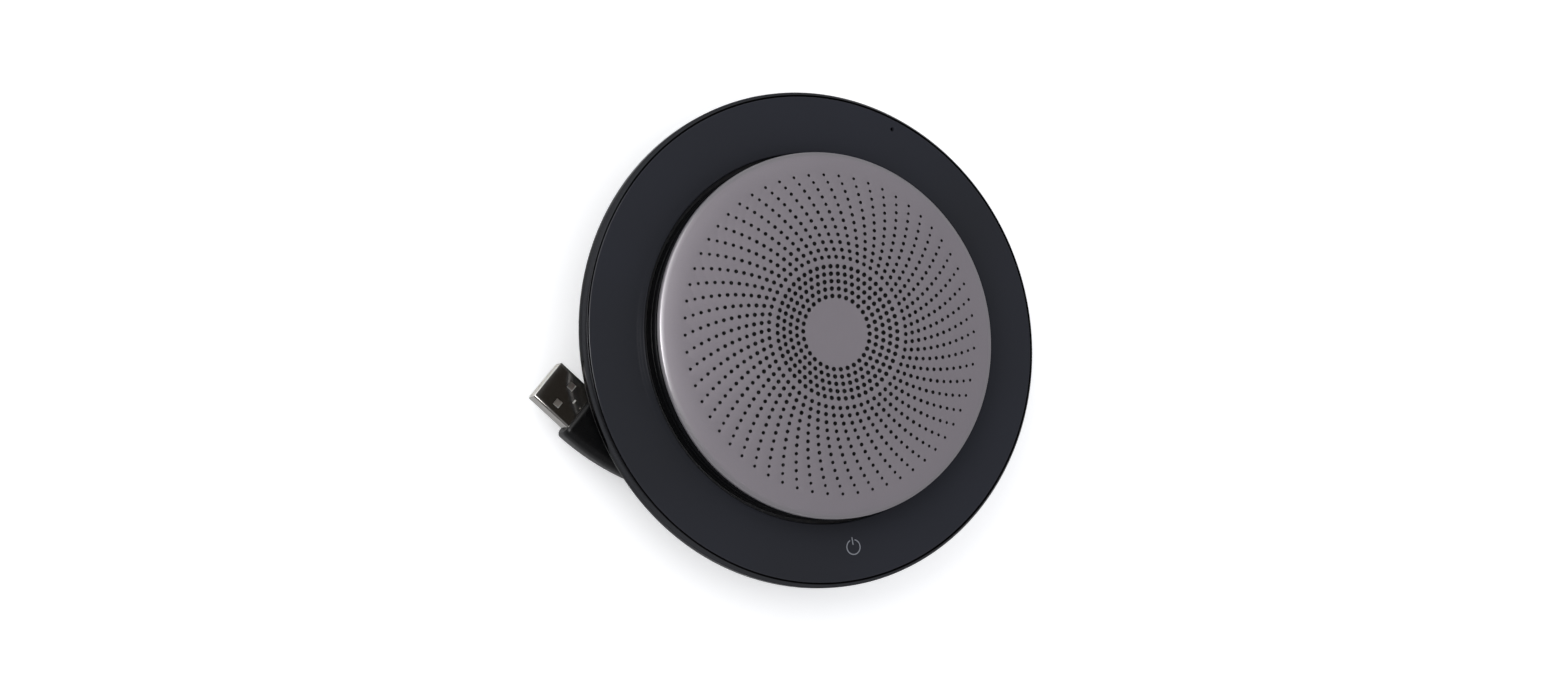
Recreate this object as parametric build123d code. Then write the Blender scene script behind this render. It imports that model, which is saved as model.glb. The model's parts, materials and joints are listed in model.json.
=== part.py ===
from build123d import *
from math import asin, cos, radians, sin
import os

# Round conference speakerphone, millimetres.  Z = 0 is the table, +Z is up and Z is the axis of
# the disc.  -Y is the user's side, where the power symbol sits on the touch ring.

# ---- driving dimensions -------------------------------------------------------------------
BODY_R = 66.25            # outside radius of the disc
RING_TOP = 19.85          # face of the touch ring
BEVEL = 1.05              # 45 degree bevel round the trim ring
RIM_SEAM = 16.5           # joint between trim ring and lower casing
WALL = 1.6                # moulded wall

GRILLE_R = 48.6           # outside of the grille's rolled edge
COLLAR_IN_R = 46.3
GRILLE_EDGE_Z = 27.0
CREST_R = 18.7            # highest circle of the grille
CREST_Z = 32.0
SHEET = 0.8               # grille sheet
HUB_R = 8.7               # plain disc in the middle of the grille
HUB_Z = 30.85
FIELD_R = 42.1            # outermost ring of holes
FIELD_Z = 28.95

RING_IN_R = 49.4          # opening of the touch ring
RING_OUT_R = 65.0
LENS = 1.8                # touch ring panel

DRUM_R = 42.0             # cable winds round this drum
GROOVE_Z0 = 4.4
GROOVE_Z1 = 12.8
CEILING_R = 60.5          # where the cable groove's ceiling turns up into the rim
BASE_R = 56.0
BASE_Z = 1.0              # underside of the base plate
FOOT_R0 = 40.6
FOOT_R1 = 45.4

CABLE_R = 1.7
WIND_R = DRUM_R + CABLE_R + 0.2

HINGE_Y = 14.0            # stand hinge runs along X
HINGE_Z = 2.3
LEG_R0 = 46.6
LEG_R1 = 51.4

BOARD_Z = 10.9            # underside of the main board
BOARD_T = 1.2
SENSOR_Z = 16.4           # underside of the touch sensor board
CHAMBER_Z = 12.8          # underside of the speaker chamber
FLANGE_Z = 24.0           # the driver's flange sits here

PLUG_HEADING = 130.0      # where the plug points, degrees from +X
BOOT_FRONT = (-66.1, -9.4)
PLUG_Z = 8.6


# ---- helpers ------------------------------------------------------------------------------
def polar(radius, angle, z=0.0):
    return Vector(radius * cos(radians(angle)), radius * sin(radians(angle)), z)


def turned(*corners):
    """Solid of revolution about Z through (radius, height) corners."""
    return revolve(make_face(Plane.XZ * Polyline(*corners, close=True)), Axis.Z)


def turned_face(*edges):
    """Solid of revolution about Z from edges drawn in (radius, height)."""
    return revolve(make_face(Plane.XZ * Curve(children=list(edges))), Axis.Z)


def tube(r0, r1, z0, z1):
    return turned((r0, z0), (r1, z0), (r1, z1), (r0, z1))


def rod(radius, z0, z1, x=0.0, y=0.0):
    return Pos(x, y, (z0 + z1) / 2) * Cylinder(radius, z1 - z0)


def sector(r0, r1, z0, z1, start, end):
    """Piece of a ring between two angles."""
    face = make_face(Plane.XZ * Polyline((r0, z0), (r1, z0), (r1, z1), (r0, z1), close=True))
    return Rot(0, 0, start) * revolve(face, Axis.Z, revolution_arc=end - start)


def block(x0, x1, y0, y1, z0, z1):
    centre = Pos((x0 + x1) / 2, (y0 + y1) / 2, (z0 + z1) / 2)
    return centre * Box(x1 - x0, y1 - y0, z1 - z0)


def at_angles(shape, angles):
    return [Rot(0, 0, angle) * shape for angle in angles]


def group(shapes):
    return Compound(children=list(shapes))


# ---- grille -------------------------------------------------------------------------------
SKIRT_Z = GRILLE_EDGE_Z - 1.2
EDGE_SLOPE = 0.35
ROLL = 0.9                # radius of the rolled edge
ROLL_Z = GRILLE_EDGE_Z - 0.64
DISH_MID = (13.5, 31.38)  # (radius, height) on the arcs hub-crest, crest-field and field-edge
CROWN_MID = (31.0, 30.71)
SHOULDER_MID = (45.6, 28.16)
INNER_PITCH = 1.935       # inner rings: each has 6 holes more than the last
INNER_RINGS = range(5, 10)
INNER_START = 26.7        # degrees
INNER_HOLE_R = 0.6
OUTER_PITCH = 2.019
OUTER_RINGS = range(12)
OUTER_COUNT = 60          # holes on each outer ring
OUTER_R = 19.89
OUTER_START = 3.13
OUTER_TWIST = 1.278       # each outer ring is turned this much further


def outer_hole_r(ring):
    """Outer holes shrink towards the edge."""
    if ring < 3:
        return 0.55
    if ring < 7:
        return 0.5
    return 0.45 if ring < 10 else 0.39


def grille_holes():
    """(x, y, radius) of every hole."""
    for ring in INNER_RINGS:
        for n in range(6 * ring):
            place = polar(INNER_PITCH * ring, INNER_START + n * 60.0 / ring)
            yield place.X, place.Y, INNER_HOLE_R
    for ring in OUTER_RINGS:
        for n in range(OUTER_COUNT):
            angle = OUTER_START + OUTER_TWIST * ring + n * 360.0 / OUTER_COUNT
            place = polar(OUTER_R + OUTER_PITCH * ring, angle)
            yield place.X, place.Y, outer_hole_r(ring)


def crown_lines(drop, edge_r):
    """Top of the grille from axis to edge, lowered by drop."""
    edge = (edge_r, GRILLE_EDGE_Z + (GRILLE_R - edge_r) * EDGE_SLOPE)
    knots = [(HUB_R, HUB_Z), DISH_MID, (CREST_R, CREST_Z), CROWN_MID, (FIELD_R, FIELD_Z), SHOULDER_MID, edge]
    hub, dish, crest, crown, field, shoulder, edge = [(r, z - drop) for r, z in knots]
    return [
        Line((0, HUB_Z - drop), hub),
        ThreePointArc(hub, dish, crest),
        ThreePointArc(crest, crown, field),
        ThreePointArc(field, shoulder, edge),
    ]


def grille():
    """Crowned sheet with a rolled edge and every hole cut through."""
    top = crown_lines(0, GRILLE_R - ROLL)
    under = crown_lines(SHEET, GRILLE_R - SHEET)
    bulge = ROLL * sin(radians(45))
    skirt = [
        ThreePointArc(top[-1] @ 1, (GRILLE_R - ROLL + bulge, ROLL_Z + bulge), (GRILLE_R, ROLL_Z)),
        Polyline((GRILLE_R, ROLL_Z), (GRILLE_R, SKIRT_Z), (GRILLE_R - SHEET, SKIRT_Z), under[-1] @ 1),
        Line((0, HUB_Z - SHEET), (0, HUB_Z)),
    ]
    shell = turned_face(*top, *under, *skirt)
    drills = [rod(radius, SKIRT_Z, CREST_Z + 1, x, y) for x, y, radius in grille_holes()]
    return shell.cut(*drills)


def grille_cloth():
    """Acoustic mesh bonded under the grille."""
    gap = 0.05
    thick = 0.3
    top = crown_lines(SHEET + gap, GRILLE_R - SHEET)
    under = crown_lines(SHEET + gap + thick, GRILLE_R - SHEET)
    ends = [Line(top[-1] @ 1, under[-1] @ 1), Line(top[0] @ 0, under[0] @ 0)]
    return turned_face(*top, *under, *ends) & rod(COLLAR_IN_R - 0.1, SKIRT_Z, CREST_Z)


# ---- ring, trim and casing ----------------------------------------------------------------
COLLAR_R = 48.3
COLLAR_LEDGE_Z = 22.5
COLLAR_LEDGE_R = 42.0
SHADOW_LINES = (21.2, 24.15)
MIC_R = 62.3
MIC_ANGLE = 58.5
MIC_PORT_R = 0.5
SENSOR_R = 64.0
SENSOR_T = 1.0
PILOT_R = 0.9             # screw holes in plastic
BOSS_PILOT_R = 1.0
CHASSIS_Z = 15.0
CHASSIS_R = 62.8
CHASSIS_SEAT_Z = SENSOR_Z - 0.8
CHASSIS_TIP_Z = 13.2
CHASSIS_SCREW_R = 56.0
CHASSIS_SCREW_ANGLES = [20 + 60 * n for n in range(6)]
CHAMBER_SCREW_R = 43.9
CHAMBER_SCREW_ANGLES = [15 + 90 * n for n in range(4)]
BOSS_R = 36.9
BOSS_ANGLES = [45 + 90 * n for n in range(4)]
RIBBON_ANGLE = 240.0
RIBBON_W = 7.0
RIBBON_R = 53.0


def mic_port(z0, z1):
    return Rot(0, 0, MIC_ANGLE) * rod(MIC_PORT_R, z0, z1, MIC_R)


def collar():
    """Gloss wall that carries the grille, with two fine shadow lines."""
    line = 0.25
    gap = 0.1
    spigot_r = GRILLE_R - SHEET - gap
    spigot_z = SKIRT_Z + 0.4
    corners = [(COLLAR_IN_R, SENSOR_Z), (COLLAR_R, SENSOR_Z)]
    for z in SHADOW_LINES:
        corners += [(COLLAR_R, z), (COLLAR_R - line, z), (COLLAR_R - line, z + line), (COLLAR_R, z + line)]
    corners += [(COLLAR_R, SKIRT_Z - gap), (spigot_r, SKIRT_Z - gap)]
    corners += [(spigot_r, spigot_z), (COLLAR_IN_R, spigot_z)]
    ledge = tube(COLLAR_LEDGE_R, COLLAR_IN_R, COLLAR_LEDGE_Z - WALL, COLLAR_LEDGE_Z)
    pilot = rod(PILOT_R, COLLAR_LEDGE_Z - WALL, COLLAR_LEDGE_Z, CHAMBER_SCREW_R)
    return (turned(*corners) + ledge).cut(*at_angles(pilot, CHAMBER_SCREW_ANGLES))


def touch_ring():
    """Smoked glossy panel with the microphone port."""
    ease = 0.25
    panel = turned(
        (RING_IN_R, RING_TOP - LENS),
        (RING_OUT_R, RING_TOP - LENS),
        (RING_OUT_R, RING_TOP),
        (RING_IN_R + ease, RING_TOP),
        (RING_IN_R, RING_TOP - ease),
    )
    return panel - mic_port(RING_TOP - LENS, RING_TOP)


def trim_ring():
    """Bevelled rim, with a foot inside that carries the touch ring."""
    inside = RING_OUT_R + 0.1
    foot = 0.6
    return turned(
        (inside - foot, RIM_SEAM),
        (BODY_R, RIM_SEAM),
        (BODY_R, RING_TOP - BEVEL),
        (BODY_R - BEVEL, RING_TOP),
        (inside, RING_TOP),
        (inside, RING_TOP - LENS),
        (inside - foot, RING_TOP - LENS),
    )


def upper_chassis():
    """Frame between the lower casing and the parts seen from above."""
    plate_in_r = COLLAR_LEDGE_R + 0.5
    riser_out_r = RING_IN_R + 0.9
    clearance_r = 1.1
    head_room_r = 2.3
    plate = tube(plate_in_r, CHASSIS_R, CHASSIS_Z, SENSOR_Z)
    riser = tube(COLLAR_R + 0.1, riser_out_r, SENSOR_Z, RING_TOP - LENS)
    hole = rod(clearance_r, CHASSIS_Z, SENSOR_Z, CHASSIS_SCREW_R)
    counterbore = rod(head_room_r, CHASSIS_SEAT_Z, SENSOR_Z, CHASSIS_SCREW_R)
    cuts = at_angles(hole, CHASSIS_SCREW_ANGLES) + at_angles(counterbore, CHASSIS_SCREW_ANGLES)
    half_slot = RIBBON_W / 2 + 0.5
    slot = block(RIBBON_R - 1.0, RIBBON_R + 1.5, -half_slot, half_slot, CHASSIS_Z, SENSOR_Z)
    cuts.append(Rot(0, 0, RIBBON_ANGLE) * slot)
    mic_room = block(MIC_R - 2.8, CHASSIS_R + 1, -2.3, 2.3, CHASSIS_Z, SENSOR_Z)
    cuts.append(Rot(0, 0, MIC_ANGLE) * mic_room)
    return (plate + riser).cut(*cuts)


def lower_casing():
    """Rim, ceiling of the cable groove and winding drum in one moulding."""
    drum_in = DRUM_R - 1.8
    ceiling_top = GROOVE_Z1 + WALL
    rim_in = BODY_R - 1.95
    rise = RIM_SEAM - GROOVE_Z1
    boss_r = 3.5
    pad_r = 3.0
    outer = EllipticalCenterArc((CEILING_R, RIM_SEAM), BODY_R - CEILING_R, rise, 270, arc_size=90)
    inner_rise = RIM_SEAM - ceiling_top
    inner = EllipticalCenterArc((CEILING_R, RIM_SEAM), rim_in - CEILING_R, inner_rise, 270, arc_size=90)
    shell = turned_face(
        Polyline((drum_in, ceiling_top), (drum_in, GROOVE_Z0), (DRUM_R, GROOVE_Z0)),
        Polyline((DRUM_R, GROOVE_Z0), (DRUM_R, GROOVE_Z1), (CEILING_R, GROOVE_Z1)),
        outer,
        Line((BODY_R, RIM_SEAM), (rim_in, RIM_SEAM)),
        inner,
        Line((CEILING_R, ceiling_top), (drum_in, ceiling_top)),
    )
    bosses = at_angles(rod(boss_r, GROOVE_Z0, BOARD_Z, BOSS_R), BOSS_ANGLES)
    pads = at_angles(rod(pad_r, ceiling_top, CHASSIS_Z, CHASSIS_SCREW_R), CHASSIS_SCREW_ANGLES)
    pilots = at_angles(rod(BOSS_PILOT_R, GROOVE_Z0, BOARD_Z, BOSS_R), BOSS_ANGLES)
    pilots += at_angles(rod(PILOT_R, CHASSIS_TIP_Z, CHASSIS_Z, CHASSIS_SCREW_R), CHASSIS_SCREW_ANGLES)
    return shell.fuse(*bosses, *pads).cut(*pilots, cable_grommet())


# ---- base, foot and stand -----------------------------------------------------------------
FOOT_SEAT = 1.4           # top of the foot's seat in the base plate
LEG_TOP = 3.4
LEG_BOTTOM = 1.1
LEG_START = 20.0
ARM_X0 = 43.8
ARM_X1 = 48.3
PIN_X = 46.0
PIN_R = 0.75
PIN_L = 8.4
PAD_HALF_ANGLE = 8.0
PAD_DEPTH = 1.4
BASE_SEAT_Z = 2.4         # base screw heads sit here
SPRING_Z = 3.6
SPRING_T = 0.25


def hinge_pin(side):
    return Pos(side * PIN_X, HINGE_Y, HINGE_Z) * Rot(0, 90, 0) * Cylinder(PIN_R, PIN_L)


def base_plate():
    """Cover of the underside, cut away for the foot, the stand and the screws."""
    chamfer = 1.5
    gap = 0.3
    plate = turned(
        (0, BASE_Z),
        (BASE_R - chamfer, BASE_Z),
        (BASE_R, BASE_Z + chamfer),
        (BASE_R, GROOVE_Z0),
        (0, GROOVE_Z0),
    )
    leg_room = sector(LEG_R0 - gap, LEG_R1 + gap, BASE_Z, LEG_TOP + gap, LEG_START - 3, 183 - LEG_START)
    cuts = [tube(FOOT_R0, FOOT_R1, BASE_Z, FOOT_SEAT), leg_room]
    for side in (1, -1):
        x0, x1 = sorted((side * (ARM_X0 - gap), side * (ARM_X1 + gap)))
        cuts.append(block(x0, x1, HINGE_Y - 1.6, HINGE_Y + 5.5, BASE_Z, SPRING_Z + SPRING_T + 0.1))
        cuts.append(hinge_pin(side))
    cuts += at_angles(rod(1.4, BASE_Z, GROOVE_Z0, BOSS_R), BOSS_ANGLES)
    cuts += at_angles(rod(2.7, BASE_Z, BASE_SEAT_Z, BOSS_R), BOSS_ANGLES)
    finger_notch = block(-8, 8, LEG_R1 - 0.6, BASE_R + 1, BASE_Z, 2.7)
    return plate.cut(*cuts, finger_notch)


def foot_ring():
    """Rubber ring that the speakerphone rests on."""
    ease = 0.4
    return turned(
        (FOOT_R0 + ease, 0),
        (FOOT_R1 - ease, 0),
        (FOOT_R1, ease),
        (FOOT_R1, FOOT_SEAT),
        (FOOT_R0, FOOT_SEAT),
        (FOOT_R0, ease),
    )


def pad_room():
    return sector(LEG_R1 - PAD_DEPTH, LEG_R1 + 1, LEG_BOTTOM, LEG_TOP, 90 - PAD_HALF_ANGLE, 90 + PAD_HALF_ANGLE)


def stand_leg():
    """Curved bail with a barrel at each end."""
    barrel_r = 1.2
    arm_length = 3.4
    leg = sector(LEG_R0, LEG_R1, LEG_BOTTOM, LEG_TOP, LEG_START, 180 - LEG_START)
    bores = []
    for side in (1, -1):
        x0, x1 = sorted((side * ARM_X0, side * ARM_X1))
        middle = side * (ARM_X0 + ARM_X1) / 2
        leg += block(x0, x1, HINGE_Y, HINGE_Y + arm_length, LEG_BOTTOM, LEG_TOP)
        across = Pos(middle, HINGE_Y, HINGE_Z) * Rot(0, 90, 0)
        leg += across * Cylinder(barrel_r, ARM_X1 - ARM_X0)
        bores.append(across * Cylinder(PIN_R + 0.05, ARM_X1 - ARM_X0 + 1))
    return leg.cut(*bores, pad_room())


def leg_pad():
    """Rubber tip of the stand."""
    return sector(LEG_R1 - PAD_DEPTH, LEG_R1, LEG_BOTTOM, LEG_TOP, 90 - PAD_HALF_ANGLE, 90 + PAD_HALF_ANGLE)


def hinge_pins():
    return group([hinge_pin(side) for side in (1, -1)])


def detent_springs():
    """Leaf over each barrel that holds the stand open or shut."""
    half = 1.8
    leaf = block(PIN_X - half, PIN_X + half, HINGE_Y - 1.4, HINGE_Y + 4.5, SPRING_Z, SPRING_Z + SPRING_T)
    return group([leaf, mirror(leaf, about=Plane.YZ)])


# ---- cable and plug -----------------------------------------------------------------------
WIND_END = 570.0          # degrees of winding from the free end to the grommet
FLARE = 8.42              # the free end stands this far off the drum
FLARE_ANGLE = 108.0
FLARE_POWER = 1.2
RISE_ANGLE = 75.0
TOP_TURN_Z = GROOVE_Z1 - CABLE_R - 0.05
LOW_TURN_Z = GROOVE_Z0 + CABLE_R + 0.05
SWING_X = -35.63          # the free end swings about this point
SWING_Y = -38.31
SWING_ANGLE = 227.08
GROMMET_ANGLE = SWING_ANGLE + WIND_END - 720
GROMMET_IN_R = 37.5
GROMMET_OUT_R = 45.6
GROMMET_W = 10.0
GROMMET_TOP = 7.8
LOOM_HEADER_R = 32.0


def wind_point(turn):
    """Centre of the cable, turn degrees along the winding."""
    off_drum = FLARE * max(0.0, 1 - turn / FLARE_ANGLE) ** FLARE_POWER
    t = min(1.0, turn / RISE_ANGLE)
    if turn <= RISE_ANGLE:
        z = PLUG_Z + (TOP_TURN_Z - PLUG_Z) * t * t * (3 - 2 * t)
    else:
        z = TOP_TURN_Z - (TOP_TURN_Z - LOW_TURN_Z) * (turn - RISE_ANGLE) / (WIND_END - RISE_ANGLE)
    return polar(WIND_R + off_drum, SWING_ANGLE + turn, z)


def swept_rod(path, radius):
    start = Plane(origin=path @ 0, z_dir=path % 0)
    return sweep(start * Circle(radius), path=path)


def usb_cable():
    """Cable wound twice round the drum, down from the plug's level to the grommet."""
    first = 2.0
    steps = 57
    turns = [first + (WIND_END - first) * n / steps for n in range(steps + 1)]
    return swept_rod(Spline(*[wind_point(turn) for turn in turns]), CABLE_R)


def cable_grommet():
    """Moulded relief where the cable goes through the drum wall."""
    body = block(GROMMET_IN_R, GROMMET_OUT_R, 0, GROMMET_W, GROOVE_Z0 + 0.05, GROMMET_TOP)
    return Rot(0, 0, GROMMET_ANGLE) * body


def usb_loom():
    """Four conductors from the grommet to the header on the main board."""
    first_y = 2.9
    pitch = 1.4
    wire_r = 0.5
    level = ((-1, 0, 0), (-1, 0, 0))
    wires = []
    for n in range(4):
        y = first_y + pitch * n
        path = Spline((GROMMET_IN_R, y, 6.2), (35.0, y, 7.6), (LOOM_HEADER_R, y, 9.2), tangents=level)
        wires.append(Rot(0, 0, GROMMET_ANGLE) * swept_rod(path, wire_r))
    return group(wires)


BOOT_TURN = 13.0          # the boot's curve, degrees over its whole reach
REACH = 42.1              # boot front to swing point along the cable
BOOT_L = 33.0
BOOT_W = 16.0
BOOT_T = 7.4
CABLE_SEAT = 8.0          # length of cable inside the boot
SHELL_L = 12.0
SHELL_W = 12.0
SHELL_T = 4.5
SHELL_WALL = 0.35
SHELL_SEAT = 6.0          # length of shell inside the boot
WINDOW = 1.9              # latch windows
WINDOW_X = 2.9
WINDOW_AT = 6.0
TONGUE_T = 1.85
TONGUE_GAP = 0.05


def boot_place(s):
    """Frame on the curved centreline s from the boot's front: Z runs back along the cable."""
    bend_r = REACH / radians(BOOT_TURN)
    turned_by = BOOT_TURN * s / REACH
    heading = PLUG_HEADING + 180 + turned_by
    ahead = bend_r * sin(radians(turned_by))
    side = bend_r * (1 - cos(radians(turned_by)))
    back = polar(1, PLUG_HEADING + 180)
    left = polar(1, PLUG_HEADING + 270)
    origin = Vector(*BOOT_FRONT, PLUG_Z) + back * ahead + left * side
    return Plane(origin=origin, x_dir=polar(1, heading + 90), z_dir=polar(1, heading))


def boot_width(s):
    return BOOT_W - 10.8 * (s / BOOT_L) ** 2.1


def boot_height(s):
    return BOOT_T - 2.6 * (s / BOOT_L) ** 2


def plug_frame():
    """Front of the boot, with Z pointing along the plug."""
    return Plane(
        origin=(*BOOT_FRONT, PLUG_Z),
        x_dir=polar(1, PLUG_HEADING - 90),
        z_dir=polar(1, PLUG_HEADING),
    )


def boot_corner(s):
    """Corner radius: flat-topped in front, nearly round at the cable."""
    return boot_height(s) * (0.3 + 0.16 * s / BOOT_L)


def plug_boot():
    """Curved moulded grip, open for the shell in front and the cable behind."""
    stations = [BOOT_L * n / 8 for n in range(9)]
    sections = [RectangleRounded(boot_width(s), boot_height(s), boot_corner(s)) for s in stations]
    boot = loft([boot_place(s) * section for s, section in zip(stations, sections)])
    seat = plug_frame() * Pos(0, 0, -SHELL_SEAT / 2) * Box(SHELL_W, SHELL_T, SHELL_SEAT)
    channel = swept_rod(cable_end_path(BOOT_L - CABLE_SEAT), CABLE_R)
    return boot - seat - channel


def plug_shell():
    """Folded steel shell with its two latch windows on each wide face."""
    bend_r = 0.8
    outside = RectangleRounded(SHELL_W, SHELL_T, bend_r)
    inside = RectangleRounded(SHELL_W - 2 * SHELL_WALL, SHELL_T - 2 * SHELL_WALL, bend_r - SHELL_WALL)
    shell = extrude(plug_frame() * Pos(0, 0, -SHELL_SEAT) * (outside - inside), SHELL_L + SHELL_SEAT)
    window = Box(WINDOW, SHELL_T + 1, WINDOW)
    windows = [plug_frame() * Pos(x, 0, WINDOW_AT) * window for x in (-WINDOW_X, WINDOW_X)]
    return shell.cut(*windows)


def plug_tongue():
    """Moulding in the upper half of the shell, just short of its front edge."""
    front = SHELL_L - 0.3
    back = -SHELL_SEAT
    wide = SHELL_W - 2 * SHELL_WALL - 1.0
    y = TONGUE_T / 2 + TONGUE_GAP + SHELL_WALL - SHELL_T / 2
    return plug_frame() * Pos(0, y, (front + back) / 2) * Box(wide, TONGUE_T, front - back)


def plug_contacts():
    """Four strips on the open face of the tongue; the outer two are longer."""
    thick = 0.2
    wide = 1.1
    front = SHELL_L - 1.4
    y = SHELL_WALL + TONGUE_GAP + TONGUE_T - SHELL_T / 2 + thick / 2
    strips = []
    for x, length in ((-3.5, 7.4), (-1.0, 6.4), (1.0, 6.4), (3.5, 7.4)):
        strips.append(plug_frame() * Pos(x, y, front - length / 2) * Box(wide, thick, length))
    return group(strips)


def cable_end_path(start):
    stations = [start + (REACH - start) * n / 4 for n in range(5)]
    return Spline(*[boot_place(s).origin for s in stations])


def cable_end():
    """Last of the cable before the boot, with a round bead where it meets the winding."""
    bead = Pos(SWING_X, SWING_Y, PLUG_Z) * Sphere(CABLE_R + 0.06)
    return swept_rod(cable_end_path(BOOT_L - CABLE_SEAT), CABLE_R) + bead


# ---- electronics --------------------------------------------------------------------------
BOARD_R = 39.0
BOARD_TOP = BOARD_Z + BOARD_T


def main_board():
    """Round board that hangs the chips, the battery header and the loom header below it."""
    holes = at_angles(rod(1.2, BOARD_Z, BOARD_TOP, BOSS_R), BOSS_ANGLES)
    return rod(BOARD_R, BOARD_Z, BOARD_TOP).cut(*holes)


def shield_can():
    """Pressed steel lid over the radio on the underside of the board."""
    wall = 0.2
    half, front, rear, height = 10.0, -35.0, -21.0, 2.2
    outside = block(-half, half, front, rear, BOARD_Z - height, BOARD_Z)
    inside = block(wall - half, half - wall, front + wall, rear - wall, BOARD_Z - height + wall, BOARD_Z)
    return outside - inside


def board_chips():
    """Radio and processor under the shield can; codec, amplifier and charger beside the battery."""
    radio = (-6, -2, -33, -29, 0.9)
    processor = (1, 8, -32, -25, 1.0)
    codec = (-19, -10, 20, 28, 1.1)
    amplifier = (12, 17, 20, 25, 1.2)
    charger = (-31, -28, -6, 2, 1.6)
    chips = (radio, processor, codec, amplifier, charger)
    return group([block(x0, x1, y0, y1, BOARD_Z - h, BOARD_Z) for x0, x1, y0, y1, h in chips])


def board_connectors():
    """Headers for the cable loom and for the battery."""
    loom = block(LOOM_HEADER_R - 5, LOOM_HEADER_R, 1.2, 8.8, BOARD_Z - 2.6, BOARD_Z)
    power = block(29, 33, -4, 4, BOARD_Z - 2.4, BOARD_Z)
    return group([Rot(0, 0, GROMMET_ANGLE) * loom, power])


CELL_Z = 4.9              # underside of the battery


def battery():
    """Flat pouch cell with rounded long edges."""
    long, wide, thick = 53.0, 33.0, 5.2
    cell = Pos(0, 0, CELL_Z + thick / 2) * Box(long, wide, thick)
    return fillet(cell.edges().filter_by(Axis.X), 1.6)


def battery_foam():
    return block(-24, 24, -14, 14, GROOVE_Z0, CELL_Z)


def touch_sensor_board():
    """Ring-shaped board under the touch ring."""
    board = tube(RING_IN_R + 1.2, SENSOR_R, SENSOR_Z, SENSOR_Z + SENSOR_T)
    return board - mic_port(SENSOR_Z, SENSOR_Z + SENSOR_T)


def ring_leds():
    """Evenly spaced lights on the touch sensor board."""
    count = 20
    led_r = 57.0
    half = 0.8
    foot_z = SENSOR_Z + SENSOR_T
    led = block(led_r - half, led_r + half, -half, half, foot_z, foot_z + 0.5)
    return group(at_angles(led, [360 * (n + 0.5) / count for n in range(count)]))


def microphone():
    """Capsule under the sensor board, below the port."""
    return Rot(0, 0, MIC_ANGLE) * block(MIC_R - 2.2, MIC_R + 0.8, -1.9, 1.9, SENSOR_Z - 1.1, SENSOR_Z)


def mic_gasket():
    """Rubber tube that carries the port through to the sensor board."""
    ring = tube(MIC_PORT_R + 0.1, MIC_PORT_R + 0.7, SENSOR_Z + SENSOR_T, RING_TOP - LENS)
    return Pos(*polar(MIC_R, MIC_ANGLE)) * ring


def sensor_ribbon():
    """Folded flexible lead from the touch sensor board down to the main board."""
    half = RIBBON_W / 2
    thick = 0.2
    run_z = GROOVE_Z1 + WALL + 0.1
    drop_r = 39.8
    tab_r = 37.5
    down = block(RIBBON_R, RIBBON_R + thick, -half, half, run_z, SENSOR_Z)
    run = block(drop_r, RIBBON_R + thick, -half, half, run_z, run_z + thick)
    drop = block(drop_r, drop_r + thick, -half, half, BOARD_TOP, run_z)
    tab = block(tab_r, drop_r + thick, -half, half, BOARD_TOP, BOARD_TOP + thick)
    return Rot(0, 0, RIBBON_ANGLE) * (down + run + drop + tab)


# ---- loudspeaker --------------------------------------------------------------------------
CHAMBER_R = 39.6
CHAMBER_OPEN_R = 34.5
DRIVER_SCREW_R = 37.2
DRIVER_SCREW_ANGLES = [60 + 90 * n for n in range(4)]
CHAMBER_RIM_R = 46.2
CHAMBER_FLOOR = 1.4
DRIVER_PILOT_Z = 20.5
FLANGE_T = 1.2
YOKE_Z = 14.4
YOKE_FLOOR = 15.8
YOKE_TOP = 19.4
YOKE_R = 12.5
GAP_OUT_R = 10.95         # the voice coil runs between these two radii
GAP_IN_R = 9.4
MAGNET_TOP = 18.2
SPIDER_Z = 20.3
COIL_R = 9.85             # inside of the voice coil's former
TERMINAL_Z = 18.6
WIRE_X = 20.0
WIRE_HOLES = (-0.9, 0.9)
WIRE_R = 0.4
WIRE_GROMMET_R = 2.0
CONE_R = 26.0
CONE_NECK_R = 10.2
CONE_RIM = 25.2
CAP_R = 10.1
CAP_Z = 22.6


def speaker_chamber():
    """Closed cup behind the loudspeaker."""
    inside = CHAMBER_R - 1.5
    floor_z = CHAMBER_Z + CHAMBER_FLOOR
    cup = turned(
        (0, CHAMBER_Z),
        (CHAMBER_R, CHAMBER_Z),
        (CHAMBER_R, COLLAR_LEDGE_Z),
        (CHAMBER_RIM_R, COLLAR_LEDGE_Z),
        (CHAMBER_RIM_R, FLANGE_Z),
        (CHAMBER_OPEN_R, FLANGE_Z),
        (CHAMBER_OPEN_R, COLLAR_LEDGE_Z),
        (inside, COLLAR_LEDGE_Z),
        (inside, floor_z),
        (0, floor_z),
    )
    bosses = at_angles(rod(2 * PILOT_R, DRIVER_PILOT_Z, COLLAR_LEDGE_Z, DRIVER_SCREW_R), DRIVER_SCREW_ANGLES)
    holes = at_angles(rod(PILOT_R, DRIVER_PILOT_Z, FLANGE_Z, DRIVER_SCREW_R), DRIVER_SCREW_ANGLES)
    holes += at_angles(rod(1.0, COLLAR_LEDGE_Z, FLANGE_Z, CHAMBER_SCREW_R), CHAMBER_SCREW_ANGLES)
    holes.append(rod(WIRE_GROMMET_R, CHAMBER_Z, floor_z, WIRE_X))
    return cup.fuse(*bosses).cut(*holes)


def wire_grommet():
    """Rubber plug that seals the wires in the chamber's floor."""
    floor_z = CHAMBER_Z + CHAMBER_FLOOR
    flange_z = floor_z + 0.6
    body = rod(WIRE_GROMMET_R, CHAMBER_Z, floor_z, WIRE_X)
    body += rod(WIRE_GROMMET_R + 0.6, floor_z, flange_z, WIRE_X)
    return body.cut(*[rod(WIRE_R, CHAMBER_Z, flange_z, WIRE_X, y) for y in WIRE_HOLES])


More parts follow.
